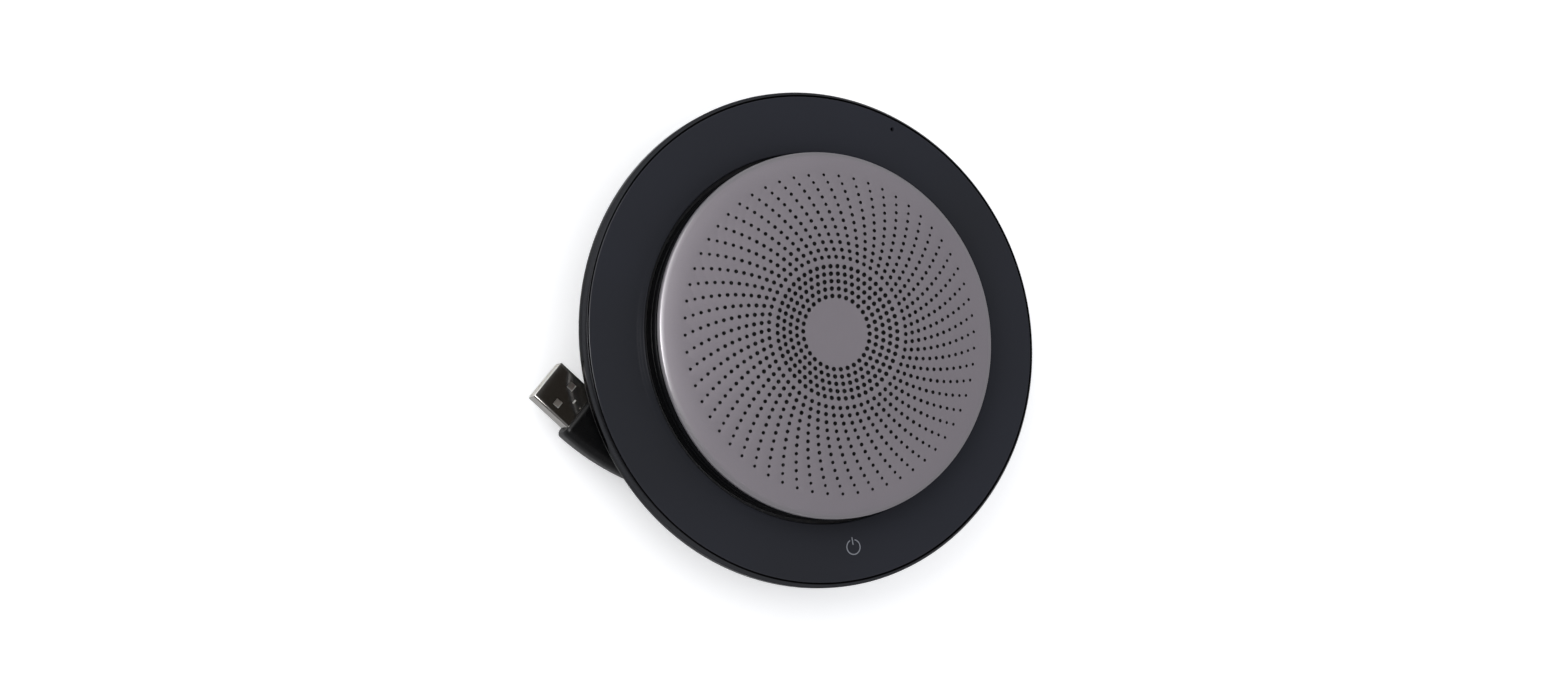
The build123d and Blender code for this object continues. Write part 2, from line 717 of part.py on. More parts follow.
def speaker_wires():
    return group([rod(WIRE_R, BOARD_TOP, TERMINAL_Z, WIRE_X, y) for y in WIRE_HOLES])


def driver_basket():
    """Pressed frame with six windows, a ledge for the spider and a terminal for the wires."""
    flange_top = FLANGE_Z + FLANGE_T
    neck_r = YOKE_R + 0.1
    ledge_r = 15.2
    frame = turned(
        (39.0, flange_top), (39.0, FLANGE_Z), (34.2, FLANGE_Z), (31.5, 21.0), (17.6, MAGNET_TOP),
        (neck_r, MAGNET_TOP), (neck_r, YOKE_TOP), (ledge_r, YOKE_TOP), (ledge_r, SPIDER_Z),
        (17.6, SPIDER_Z), (18.0, 19.5), (30.9, 22.1), (32.6, 23.6), (32.6, flange_top),
    )
    window = sector(19.2, 29.6, 17, FLANGE_Z, 9, 51)
    windows = at_angles(window, range(0, 360, 60))
    holes = at_angles(rod(1.0, FLANGE_Z, flange_top, DRIVER_SCREW_R), DRIVER_SCREW_ANGLES)
    terminal = block(16.9, 21.5, -2.2, 2.2, TERMINAL_Z, TERMINAL_Z + 0.7)
    return frame.cut(*windows, *holes) + terminal


def driver_yoke():
    """Steel cup round the magnet."""
    return turned(
        (0, YOKE_Z), (YOKE_R, YOKE_Z), (YOKE_R, YOKE_TOP),
        (GAP_OUT_R, YOKE_TOP), (GAP_OUT_R, YOKE_FLOOR), (0, YOKE_FLOOR),
    )


def driver_magnet():
    return rod(GAP_IN_R - 0.4, YOKE_FLOOR, MAGNET_TOP)


def driver_top_plate():
    return rod(GAP_IN_R, MAGNET_TOP, YOKE_TOP)


def voice_coil():
    """Former with the winding on its lower half."""
    former_r = COIL_R + 0.25
    winding_r = COIL_R + 0.7
    low, middle = 17.4, 20.0
    return turned(
        (COIL_R, low), (winding_r, low), (winding_r, middle),
        (former_r, middle), (former_r, CAP_Z), (COIL_R, CAP_Z),
    )


def speaker_cone():
    """Straight-sided paper cone with a flat rim under the surround."""
    under = CONE_RIM - 0.4
    return turned(
        (CONE_NECK_R, 22.0), (24.8, under), (CONE_R, under),
        (CONE_R, CONE_RIM), (24.6, CONE_RIM), (CONE_NECK_R, 22.5),
    )


def dome_arc(radius, z0, z1):
    """Arc from the rim of a spherical dome to its top on the axis."""
    rise = z1 - z0
    sphere_r = (radius**2 + rise**2) / (2 * rise)
    half = asin(radius / sphere_r) / 2
    middle = (sphere_r * sin(half), z1 - sphere_r * (1 - cos(half)))
    return ThreePointArc((radius, z0), middle, (0, z1))


def dust_cap():
    thick = 0.4
    top = 25.2
    outer = dome_arc(CAP_R, CAP_Z, top)
    inner = dome_arc(CAP_R - thick, CAP_Z, top - thick)
    axis = Line((0, top), (0, top - thick))
    rim = Line((CAP_R - thick, CAP_Z), (CAP_R, CAP_Z))
    return turned_face(outer, axis, inner, rim)


def surround():
    """Rubber half roll between the cone and the basket."""
    thick = 0.4
    top = CONE_RIM + thick
    centre = 28.6
    half = 2.6
    rise = 2.0
    in_r, out_r = 24.7, 33.8
    outer = EllipticalCenterArc((centre, top), half, rise, 0, arc_size=180)
    inner = EllipticalCenterArc((centre, CONE_RIM), half - thick, rise, 0, arc_size=180)
    return turned_face(
        Polyline((centre - half, top), (in_r, top), (in_r, CONE_RIM), (centre - half + thick, CONE_RIM)),
        inner,
        Polyline((centre + half - thick, CONE_RIM), (out_r, CONE_RIM), (out_r, top), (centre + half, top)),
        outer,
    )


def spider():
    """Corrugated cloth that centres the voice coil."""
    thick = 0.25
    wave = 0.35
    pitch = 0.8
    first_r = 11.2
    crests = [(first_r + pitch * n, SPIDER_Z + wave * (n % 2)) for n in range(5)]
    low = [(CONE_NECK_R, SPIDER_Z), *crests, (17.4, SPIDER_Z)]
    high = [(r, z + thick) for r, z in reversed(low)]
    return turned(*low, *high)


def driver_gasket():
    """Foam ring between the basket's flange and the grille cloth."""
    return tube(33.9, 35.5, FLANGE_Z + FLANGE_T, 28.4)


# ---- screws -------------------------------------------------------------------------------
def screws(radius, angles, shank_r, z_tip, z_seat, head_r, head_h):
    """Cross-head screws whose heads sit above z_seat, or below it when head_h is negative."""
    slot = 0.2
    arm = 0.65 * head_r
    z_face = z_seat + head_h
    head = rod(head_r, *sorted((z_seat, z_face)), radius)
    shank = rod(shank_r, *sorted((z_tip, z_seat)), radius)
    drive_z = sorted((z_face, z_face - head_h / 2))
    drive = block(radius - arm, radius + arm, -slot, slot, *drive_z)
    drive += block(radius - slot, radius + slot, -arm, arm, *drive_z)
    return group(at_angles(head + shank - drive, angles))


def base_screws():
    return screws(BOSS_R, BOSS_ANGLES, BOSS_PILOT_R, 7.2, BASE_SEAT_Z, 2.5, -1.1)


def board_screws():
    return screws(BOSS_R, BOSS_ANGLES, BOSS_PILOT_R, 8.2, BOARD_TOP, 1.9, 0.6)


def chassis_screws():
    return screws(CHASSIS_SCREW_R, CHASSIS_SCREW_ANGLES, PILOT_R, CHASSIS_TIP_Z, CHASSIS_SEAT_Z, 2.2, 0.75)


def chamber_screws():
    return screws(CHAMBER_SCREW_R, CHAMBER_SCREW_ANGLES, PILOT_R, 20.9, FLANGE_Z, 1.7, 0.9)


def driver_screws():
    return screws(DRIVER_SCREW_R, DRIVER_SCREW_ANGLES, PILOT_R, 21.0, FLANGE_Z + FLANGE_T, 1.5, 0.9)


PARTS = [
    grille, grille_cloth, collar, touch_ring, trim_ring, upper_chassis, lower_casing,
    base_plate, foot_ring, stand_leg, leg_pad, hinge_pins, detent_springs,
    usb_cable, cable_grommet, usb_loom, plug_boot, plug_shell, plug_tongue, plug_contacts, cable_end,
    main_board, shield_can, board_chips, board_connectors, battery, battery_foam,
    touch_sensor_board, ring_leds, microphone, mic_gasket, sensor_ribbon,
    speaker_chamber, wire_grommet, speaker_wires, driver_basket, driver_yoke, driver_magnet,
    driver_top_plate, voice_coil, speaker_cone, dust_cap, surround, spider, driver_gasket,
    base_screws, board_screws, chassis_screws, chamber_screws, driver_screws,
]

os.makedirs("parts", exist_ok=True)
for make in PARTS:
    export_step(make(), f"parts/{make.__name__}.step")
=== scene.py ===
import json
from math import atan2, cos, degrees, hypot, pi, radians, sin, sqrt, tan

import bmesh
import bpy
from mathutils import Matrix, Vector
from mathutils.geometry import delaunay_2d_cdt


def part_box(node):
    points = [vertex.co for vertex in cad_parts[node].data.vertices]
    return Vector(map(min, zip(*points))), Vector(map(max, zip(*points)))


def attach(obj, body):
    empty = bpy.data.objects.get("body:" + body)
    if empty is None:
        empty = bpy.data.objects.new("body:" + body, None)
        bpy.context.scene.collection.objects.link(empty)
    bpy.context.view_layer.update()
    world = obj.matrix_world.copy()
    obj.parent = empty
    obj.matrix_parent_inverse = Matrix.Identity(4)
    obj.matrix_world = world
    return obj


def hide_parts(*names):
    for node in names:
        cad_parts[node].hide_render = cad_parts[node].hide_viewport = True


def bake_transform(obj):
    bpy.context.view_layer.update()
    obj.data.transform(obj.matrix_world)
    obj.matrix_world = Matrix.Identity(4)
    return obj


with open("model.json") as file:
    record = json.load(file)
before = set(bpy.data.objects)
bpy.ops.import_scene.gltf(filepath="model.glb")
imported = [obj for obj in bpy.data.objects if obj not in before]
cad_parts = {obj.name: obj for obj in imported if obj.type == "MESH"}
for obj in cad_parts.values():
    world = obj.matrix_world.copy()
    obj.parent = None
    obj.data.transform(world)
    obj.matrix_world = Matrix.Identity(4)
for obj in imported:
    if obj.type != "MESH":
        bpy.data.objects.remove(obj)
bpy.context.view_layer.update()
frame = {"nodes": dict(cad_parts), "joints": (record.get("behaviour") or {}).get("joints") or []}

# Looks of the round conference speakerphone.  Profiles are (radius, height) pairs in millimetres,
# turned about Z; meshes are in metres, in the frame of the CAD parts.

MM = 0.001


# ---- sizes from the frame -----------------------------------------------------------------
def top_of(node):
    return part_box(node)[1].z / MM


def bottom_of(node):
    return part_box(node)[0].z / MM


def radius_of(node):
    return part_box(node)[1].x / MM


BODY_R = radius_of("trim_ring")
RING_TOP = top_of("touch_ring")
RING_FLOOR = bottom_of("touch_ring")
RING_OUT_R = radius_of("touch_ring")
RING_IN_R = 49.4
TRIM_FLOOR = bottom_of("trim_ring")
COLLAR_R = radius_of("collar")
COLLAR_IN_R = 46.3
GRILLE_R = radius_of("grille")
GRILLE_TOP = top_of("grille")
GRILLE_FLOOR = bottom_of("grille")
FOOT_TOP = top_of("foot_ring")
FOOT_R = radius_of("foot_ring")


# ---- mesh helpers -------------------------------------------------------------------------
def polar(radius, angle, z=0.0):
    return Vector((radius * cos(radians(angle)), radius * sin(radians(angle)), z))


def new_object(name, bm, body, material, smooth_angle=40.0):
    """Turn a bmesh into a piece that rides on a body."""
    bmesh.ops.recalc_face_normals(bm, faces=bm.faces)
    mesh = bpy.data.meshes.new(name)
    bm.to_mesh(mesh)
    bm.free()
    for polygon in mesh.polygons:
        polygon.use_smooth = True
    mesh.set_sharp_from_angle(angle=radians(smooth_angle))
    obj = bpy.data.objects.new(name, mesh)
    bpy.context.scene.collection.objects.link(obj)
    mesh.materials.append(material)
    if body:
        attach(obj, body)
    return obj


def rounded(corners, steps=4):
    """Profile from (radius, height, fillet) corners, closed."""
    points = []
    count = len(corners)
    for i, (r, z, fillet) in enumerate(corners):
        here = Vector((r, z))
        before = Vector(corners[i - 1][:2]) - here
        after = Vector(corners[(i + 1) % count][:2]) - here
        if fillet <= 0:
            points.append((r, z))
            continue
        angle = before.angle(after)
        reach = fillet / tan(angle / 2)
        start = here + before.normalized() * reach
        end = here + after.normalized() * reach
        centre = here + (before.normalized() + after.normalized()).normalized() * (fillet / sin(angle / 2))
        a0 = atan2(start.y - centre.y, start.x - centre.x)
        a1 = atan2(end.y - centre.y, end.x - centre.x)
        sweep = (a1 - a0 + pi) % (2 * pi) - pi
        for n in range(steps + 1):
            a = a0 + sweep * n / steps
            points.append((centre.x + fillet * cos(a), centre.y + fillet * sin(a)))
    return points


def lathe_mesh(profile, segments=256):
    """Closed profile turned about Z."""
    bm = bmesh.new()
    rings = []
    for r, z in profile:
        if r < 1e-6:
            rings.append([bm.verts.new((0, 0, z * MM))] * segments)
            continue
        turn = [2 * pi * n / segments for n in range(segments)]
        rings.append([bm.verts.new((r * MM * cos(a), r * MM * sin(a), z * MM)) for a in turn])
    for i, ring in enumerate(rings):
        following = rings[(i + 1) % len(rings)]
        for n in range(segments):
            m = (n + 1) % segments
            corners = []
            for vert in (ring[n], ring[m], following[m], following[n]):
                if vert not in corners:
                    corners.append(vert)
            if len(corners) > 2:
                bm.faces.new(corners)
    return bm


def tube_mesh(path, radius, sides=20, close_ends=True):
    """Round tube along a list of points in millimetres."""
    bm = bmesh.new()
    rings = []
    up = Vector((0, 0, 1))
    for i, point in enumerate(path):
        ahead = (path[min(i + 1, len(path) - 1)] - path[max(i - 1, 0)]).normalized()
        side = ahead.cross(up).normalized()
        over = side.cross(ahead)
        turn = [2 * pi * n / sides for n in range(sides)]
        rings.append([bm.verts.new((point + (side * cos(a) + over * sin(a)) * radius) * MM) for a in turn])
    for ring, following in zip(rings, rings[1:]):
        for n in range(sides):
            m = (n + 1) % sides
            bm.faces.new((ring[n], ring[m], following[m], following[n]))
    if close_ends:
        bm.faces.new(rings[0])
        bm.faces.new(rings[-1])
    return bm


def loft_mesh(sections):
    """Skin between loops that have the same number of points, closed at both ends."""
    bm = bmesh.new()
    loops = [[bm.verts.new(point * MM) for point in section] for section in sections]
    for loop, following in zip(loops, loops[1:]):
        for n in range(len(loop)):
            m = (n + 1) % len(loop)
            bm.faces.new((loop[n], loop[m], following[m], following[n]))
    bm.faces.new(loops[0])
    bm.faces.new(loops[-1])
    return bm


def cut(obj, tool_mesh, smooth_angle=40.0):
    """Take a closed bmesh out of a piece."""
    mesh = bpy.data.meshes.new("cutter")
    bmesh.ops.recalc_face_normals(tool_mesh, faces=tool_mesh.faces)
    tool_mesh.to_mesh(mesh)
    tool_mesh.free()
    tool = bpy.data.objects.new("cutter", mesh)
    bpy.context.scene.collection.objects.link(tool)
    modifier = obj.modifiers.new("cut", "BOOLEAN")
    modifier.operation = "DIFFERENCE"
    modifier.solver = "EXACT"
    modifier.object = tool
    depsgraph = bpy.context.evaluated_depsgraph_get()
    result = bpy.data.meshes.new_from_object(obj.evaluated_get(depsgraph))
    obj.modifiers.remove(modifier)
    result.set_sharp_from_angle(angle=radians(smooth_angle))
    obj.data = result
    bpy.data.objects.remove(tool)


# ---- materials ----------------------------------------------------------------------------
def node_material(name):
    material = bpy.data.materials.new(name)
    material.use_nodes = True
    nodes = material.node_tree.nodes
    return material, nodes, material.node_tree.links, nodes["Principled BSDF"]


def noise(nodes, links, place, scale, detail=3.0, stretch=None):
    """Noise texture in object space; stretch squeezes it along each axis."""
    node = nodes.new("ShaderNodeTexNoise")
    node.inputs["Scale"].default_value = scale
    node.inputs["Detail"].default_value = detail
    source = place.outputs["Object"]
    if stretch:
        mapping = nodes.new("ShaderNodeMapping")
        mapping.inputs["Scale"].default_value = stretch
        links.new(source, mapping.inputs["Vector"])
        source = mapping.outputs["Vector"]
    links.new(source, node.inputs["Vector"])
    return node.outputs["Fac"]


def ranged(nodes, links, value, low, high, start=0.3, end=0.7):
    """Map a texture's middle band onto low..high."""
    node = nodes.new("ShaderNodeMapRange")
    node.inputs["From Min"].default_value = start
    node.inputs["From Max"].default_value = end
    node.inputs["To Min"].default_value = low
    node.inputs["To Max"].default_value = high
    links.new(value, node.inputs["Value"])
    return node.outputs["Result"]


def two_tone(nodes, links, factor, first, second):
    node = nodes.new("ShaderNodeMix")
    node.data_type = "RGBA"
    node.inputs["A"].default_value = (*first, 1)
    node.inputs["B"].default_value = (*second, 1)
    links.new(factor, node.inputs["Factor"])
    return node.outputs["Result"]


def mix_colours(nodes, links, factor, first, second):
    """Blend two colours; either may be a socket."""
    mix = nodes.new("ShaderNodeMix")
    mix.data_type = "RGBA"
    links.new(factor, mix.inputs["Factor"])
    for socket, value in ((mix.inputs["A"], first), (mix.inputs["B"], second)):
        if isinstance(value, tuple):
            socket.default_value = (*value, 1)
        else:
            links.new(value, socket)
    return mix.outputs["Result"]


def bumped(nodes, links, shader, height, depth_mm):
    node = nodes.new("ShaderNodeBump")
    node.inputs["Strength"].default_value = 1.0
    node.inputs["Distance"].default_value = depth_mm * MM
    links.new(height, node.inputs["Height"])
    links.new(node.outputs["Normal"], shader.inputs["Normal"])


def finish_of(name, colour, rough, metal=0.0, grain_mm=0.4, depth_mm=0.01, spread=0.15, stretch=None,
              specular=0.5, rim=1.0):
    """Moulded, painted or metal surface: mottled colour, uneven roughness and a fine grain.

    On a metal, rim dims what the surface mirrors at a grazing angle.
    """
    material, nodes, links, shader = node_material(name)
    place = nodes.new("ShaderNodeTexCoord")
    cloudy = noise(nodes, links, place, 60.0, 4.0)
    grain = noise(nodes, links, place, 1 / (grain_mm * MM), 2.0, stretch)
    darker = tuple(c * (1 - spread) for c in colour)
    lighter = tuple(min(1.0, c * (1 + spread)) for c in colour)
    links.new(two_tone(nodes, links, cloudy, darker, lighter), shader.inputs["Base Color"])
    links.new(ranged(nodes, links, grain, rough * 0.8, min(1.0, rough * 1.25)), shader.inputs["Roughness"])
    shader.inputs["Metallic"].default_value = metal
    shader.inputs["Specular IOR Level"].default_value = specular
    shader.inputs["Specular Tint"].default_value = (rim, rim, rim, 1)
    bumped(nodes, links, shader, grain, depth_mm)
    return material


def brushed(name, colour, rough=0.25):
    """Drawn or turned metal with fine lines along X."""
    return finish_of(name, colour, rough, 1.0, 0.15, 0.002, 0.08, stretch=(0.04, 1.0, 1.0))


def radial_distance(nodes, links, place):
    """Distance from the Z axis, in metres."""
    split = nodes.new("ShaderNodeVectorMath")
    split.operation = "MULTIPLY"
    split.inputs[1].default_value = (1, 1, 0)
    links.new(place.outputs["Object"], split.inputs[0])
    length = nodes.new("ShaderNodeVectorMath")
    length.operation = "LENGTH"
    links.new(split.outputs["Vector"], length.inputs[0])
    return length.outputs["Value"]


def grille_finish():
    """Warm grey satin coat with a fine flake, polished on the rolled edge."""
    material, nodes, links, shader = node_material("grille_coat")
    place = nodes.new("ShaderNodeTexCoord")
    cloudy = noise(nodes, links, place, 35.0, 3.0)
    flake = noise(nodes, links, place, 9000.0, 2.0)
    coat = two_tone(nodes, links, cloudy, (0.205, 0.185, 0.205), (0.235, 0.213, 0.232))
    sparkle_mask = ranged(nodes, links, flake, 0.0, 1.0, 0.35, 0.75)
    sparkle = two_tone(nodes, links, sparkle_mask, (0, 0, 0), (0.5, 0.48, 0.5))
    tint = nodes.new("ShaderNodeMix")
    tint.data_type = "RGBA"
    tint.blend_type = "ADD"
    tint.inputs["Factor"].default_value = 0.05
    links.new(coat, tint.inputs["A"])
    links.new(sparkle, tint.inputs["B"])
    distance = radial_distance(nodes, links, place)
    edge = ranged(nodes, links, distance, 0.0, 1.0, (GRILLE_R - 1.5) * MM, (GRILLE_R - 0.7) * MM)
    body = nodes.new("ShaderNodeMix")
    body.data_type = "RGBA"
    body.inputs["B"].default_value = (0.3, 0.285, 0.3, 1)
    links.new(edge, body.inputs["Factor"])
    links.new(tint.outputs["Result"], body.inputs["A"])
    links.new(body.outputs["Result"], shader.inputs["Base Color"])
    links.new(ranged(nodes, links, edge, 0.25, 0.6, 0.0, 1.0), shader.inputs["Metallic"])
    links.new(ranged(nodes, links, edge, 0.5, 0.28, 0.0, 1.0), shader.inputs["Roughness"])
    bumped(nodes, links, shader, flake, 0.002)
    return material


def panel_finish():
    """Smoked gloss panel: deep blue-black, polished, with faint hairlines and dust."""
    material, nodes, links, shader = node_material("smoked_gloss")
    place = nodes.new("ShaderNodeTexCoord")
    cloudy = noise(nodes, links, place, 14.0, 2.0)
    tone = two_tone(nodes, links, ranged(nodes, links, cloudy, 0, 1),
                    (0.0225, 0.0235, 0.0275), (0.025, 0.0265, 0.0335))
    links.new(tone, shader.inputs["Base Color"])
    dust = noise(nodes, links, place, 2500.0, 3.0)
    links.new(ranged(nodes, links, dust, 0.1, 0.16, 0.5, 0.8), shader.inputs["Roughness"])
    hairline = noise(nodes, links, place, 700.0, 2.0, (1.0, 0.02, 1.0))
    bumped(nodes, links, shader, hairline, 0.0004)
    return material


def cloth_finish(name, colour, pitch_mm, depth_mm):
    """Plain weave from two crossed sets of threads."""
    material, nodes, links, shader = node_material(name)
    place = nodes.new("ShaderNodeTexCoord")
    threads = []
    for direction in ("X", "Y"):
        wave = nodes.new("ShaderNodeTexWave")
        wave.bands_direction = direction
        wave.inputs["Scale"].default_value = 0.314 / (pitch_mm * MM)
        wave.inputs["Distortion"].default_value = 0.4
        wave.inputs["Detail"].default_value = 1.0
        links.new(place.outputs["Object"], wave.inputs["Vector"])
        threads.append(wave.outputs["Fac"])
    weave = nodes.new("ShaderNodeMath")
    weave.operation = "MULTIPLY"
    links.new(threads[0], weave.inputs[0])
    links.new(threads[1], weave.inputs[1])
    bright = tuple(min(1.0, c * 1.7) for c in colour)
    links.new(two_tone(nodes, links, weave.outputs["Value"], colour, bright), shader.inputs["Base Color"])
    shader.inputs["Roughness"].default_value = 0.85
    shader.inputs["Sheen Weight"].default_value = 0.2
    bumped(nodes, links, shader, weave.outputs["Value"], depth_mm)
    return material


def board_finish():
    """Solder mask over copper tracks, with tinned pads."""
    material, nodes, links, shader = node_material("solder_mask")
    place = nodes.new("ShaderNodeTexCoord")
    tracks = nodes.new("ShaderNodeTexBrick")
    tracks.inputs["Scale"].default_value = 160.0
    tracks.inputs["Mortar Size"].default_value = 0.03
    tracks.inputs["Color1"].default_value = (0.006, 0.05, 0.02, 1)
    tracks.inputs["Color2"].default_value = (0.008, 0.065, 0.026, 1)
    tracks.inputs["Mortar"].default_value = (0.02, 0.15, 0.06, 1)
    links.new(place.outputs["Object"], tracks.inputs["Vector"])
    links.new(tracks.outputs["Color"], shader.inputs["Base Color"])
    pads = noise(nodes, links, place, 900.0, 1.0)
    links.new(ranged(nodes, links, pads, 0.25, 0.4), shader.inputs["Roughness"])
    bumped(nodes, links, shader, tracks.outputs["Fac"], 0.02)
    return material


def foam_finish():
    """Open-cell foam."""
    material, nodes, links, shader = node_material("open_cell_foam")
    place = nodes.new("ShaderNodeTexCoord")
    cells = nodes.new("ShaderNodeTexVoronoi")
    cells.inputs["Scale"].default_value = 2200.0
    links.new(place.outputs["Object"], cells.inputs["Vector"])
    links.new(two_tone(nodes, links, cells.outputs["Distance"], (0.02, 0.02, 0.022), (0.1, 0.1, 0.105)),
              shader.inputs["Base Color"])
    shader.inputs["Roughness"].default_value = 0.95
    bumped(nodes, links, shader, cells.outputs["Distance"], 0.15)
    return material


def clear_resin():
    material = finish_of("led_resin", (0.8, 0.8, 0.74), 0.15, spread=0.05)
    material.node_tree.nodes["Principled BSDF"].inputs["Transmission Weight"].default_value = 0.4
    return material


GLOSS = finish_of("gloss_black", (0.004, 0.004, 0.0045), 0.07, grain_mm=1.5, depth_mm=0.0006, specular=0.35)
TRIM = finish_of("trim_black", (0.045, 0.046, 0.05), 0.12, 1.0, 1.0, 0.001, rim=0.5)
CASING = finish_of("moulded_black", (0.012, 0.012, 0.0125), 0.42, grain_mm=0.25, depth_mm=0.012)
INNER = finish_of("inner_moulding", (0.03, 0.03, 0.032), 0.5, grain_mm=0.3, depth_mm=0.01)
RUBBER = finish_of("soft_rubber", (0.014, 0.014, 0.0145), 0.6, grain_mm=0.18, depth_mm=0.01, spread=0.25)
JACKET = finish_of("cable_jacket", (0.011, 0.011, 0.0115), 0.4, grain_mm=0.3, depth_mm=0.008)
BOOT = finish_of("boot_rubber", (0.0025, 0.0025, 0.0028), 0.32, grain_mm=0.2, depth_mm=0.004, specular=0.3)
PLATED = brushed("nickel_plate", (0.66, 0.64, 0.6), 0.2)
PLUG_STEEL = finish_of("plug_steel", (0.44, 0.425, 0.4), 0.13, 1.0, 0.5, 0.0008, 0.06)
PLUG_INSIDE = finish_of("plug_inside", (0.86, 0.85, 0.82), 0.6, 0.6, 0.2, 0.001, 0.04)
LEAF = finish_of("latch_leaf", (0.5, 0.46, 0.42), 0.4, 1.0, 0.3, 0.002, 0.1)
SPRING_STEEL = brushed("spring_steel", (0.5, 0.5, 0.5), 0.3)
SCREW = brushed("black_zinc", (0.16, 0.16, 0.17), 0.35)
GOLD = brushed("contact_gold", (0.83, 0.58, 0.22), 0.2)
FOIL = brushed("battery_foil", (0.62, 0.63, 0.65), 0.35)
MAGNET = finish_of("magnet_nickel", (0.68, 0.66, 0.62), 0.22, 1.0, 0.5, 0.002)
COPPER = finish_of("enamelled_copper", (0.62, 0.24, 0.1), 0.3, 0.9, 0.12, 0.02, stretch=(0.1, 0.1, 1.0))
TONGUE = finish_of("white_moulding", (0.74, 0.74, 0.71), 0.45, grain_mm=0.3, depth_mm=0.004, spread=0.04)
HEADER = finish_of("header_moulding", (0.7, 0.67, 0.58), 0.5, grain_mm=0.3, depth_mm=0.004, spread=0.06)
CHIP = finish_of("chip_epoxy", (0.02, 0.02, 0.021), 0.6, grain_mm=0.12, depth_mm=0.006)
FILM = finish_of("polyimide_film", (0.42, 0.17, 0.03), 0.25, grain_mm=0.8, depth_mm=0.002)
BASKET = finish_of("passivated_steel", (0.04, 0.04, 0.042), 0.4, 0.6, 0.4, 0.006)
PAPER = finish_of("cone_paper", (0.03, 0.03, 0.031), 0.85, grain_mm=0.5, depth_mm=0.05, spread=0.3)
WIRE = finish_of("wire_insulation", (0.25, 0.02, 0.02), 0.4, grain_mm=0.4, depth_mm=0.004)
MARK = finish_of("printed_mark", (0.2, 0.21, 0.235), 0.4, grain_mm=0.3, depth_mm=0.001, spread=0.05)
GRILLE_COAT = grille_finish()
# Hole walls below the eased lip: painted shade, a near-black coat standing in for the shade inside the holes.
HOLE_SHADE = finish_of("hole_wall_painted_shade", (0.012, 0.011, 0.012), 0.5, grain_mm=0.1, depth_mm=0.004)
SMOKED = panel_finish()
BLACK_CLOTH = cloth_finish("acoustic_mesh", (0.003, 0.003, 0.003), 0.25, 0.05)
SPIDER_CLOTH = cloth_finish("spider_weave", (0.34, 0.2, 0.07), 0.35, 0.08)
SOLDER_MASK = board_finish()
FOAM = foam_finish()
RESIN = clear_resin()

CAD_FINISH = {
    "grille_cloth": BLACK_CLOTH, "upper_chassis": INNER, "base_plate": CASING, "hinge_pins": SPRING_STEEL,
    "detent_springs": SPRING_STEEL, "cable_grommet": RUBBER, "usb_loom": WIRE, "main_board": SOLDER_MASK,
    "shield_can": PLATED, "board_chips": CHIP, "board_connectors": HEADER, "battery": FOIL,
    "battery_foam": FOAM, "touch_sensor_board": SOLDER_MASK, "ring_leds": RESIN, "microphone": PLATED,
    "mic_gasket": RUBBER, "sensor_ribbon": FILM, "speaker_chamber": INNER, "wire_grommet": RUBBER,
    "speaker_wires": WIRE, "driver_basket": BASKET, "driver_yoke": MAGNET, "driver_magnet": MAGNET,
    "driver_top_plate": MAGNET, "driver_gasket": FOAM,
    "base_screws": SCREW, "board_screws": SCREW, "chassis_screws": SCREW, "chamber_screws": SCREW,
    "driver_screws": SCREW, "speaker_cone": PAPER, "dust_cap": PAPER, "voice_coil": COPPER,
    "stand_leg": CASING, "leg_pad": RUBBER, "plug_tongue": TONGUE, "plug_contacts": GOLD,
    "lower_casing": CASING,
}


def dress_cad_nodes():
    for node, material in CAD_FINISH.items():
        obj = frame["nodes"][node]
        obj.data.materials.clear()
        obj.data.materials.append(material)


# ---- grille -------------------------------------------------------------------------------
SHEET = 0.8
HUB_R = 8.7
CREST_R = 18.7
FIELD_R = 42.1            # outermost ring of holes
FIELD_Z = 28.95
HUB_Z = 30.85
DISH_MID = (13.5, 31.38)
CROWN_MID = (31.0, 30.71)
SHOULDER_MID = (45.6, 28.16)
SHOULDER_END = (48.0, 27.21)
EDGE_ROLL = 0.9
HOLE_SIDES = 16
RIM_SIDES = 240


def three_point_arc(first, middle, last):
    """Height on the arc through three (radius, height) points, as a function of radius."""
    (x0, y0), (x1, y1), (x2, y2) = first, middle, last
    det = 2 * (x0 * (y1 - y2) + x1 * (y2 - y0) + x2 * (y0 - y1))
    s0, s1, s2 = x0 * x0 + y0 * y0, x1 * x1 + y1 * y1, x2 * x2 + y2 * y2
    cx = (s0 * (y1 - y2) + s1 * (y2 - y0) + s2 * (y0 - y1)) / det
    cy = (s0 * (x2 - x1) + s1 * (x0 - x2) + s2 * (x1 - x0)) / det
    radius = hypot(x0 - cx, y0 - cy)
    side = 1 if y1 > cy else -1
    return lambda r: cy + side * sqrt(max(0.0, radius * radius - (r - cx) ** 2))


DISH = three_point_arc((HUB_R, HUB_Z), DISH_MID, (CREST_R, GRILLE_TOP))
CROWN = three_point_arc((CREST_R, GRILLE_TOP), CROWN_MID, (FIELD_R, FIELD_Z))
SHOULDER = three_point_arc((FIELD_R, FIELD_Z), SHOULDER_MID, SHOULDER_END)


def crown_height(r):
    if r <= HUB_R:
        return HUB_Z
    if r <= CREST_R:
        return DISH(r)
    return CROWN(r) if r <= FIELD_R else SHOULDER(r)


INNER_PITCH = 1.935       # inner rings: each has 6 holes more than the last
INNER_RINGS = range(5, 10)
INNER_START = 26.7        # degrees
INNER_HOLE_R = 0.6
OUTER_PITCH = 2.019
OUTER_HOLE_RS = [0.55] * 3 + [0.5] * 4 + [0.45] * 3 + [0.39] * 2
OUTER_COUNT = 60          # holes on each outer ring
OUTER_R = 19.89
OUTER_START = 3.13
OUTER_TWIST = 1.278       # each outer ring is turned this much further


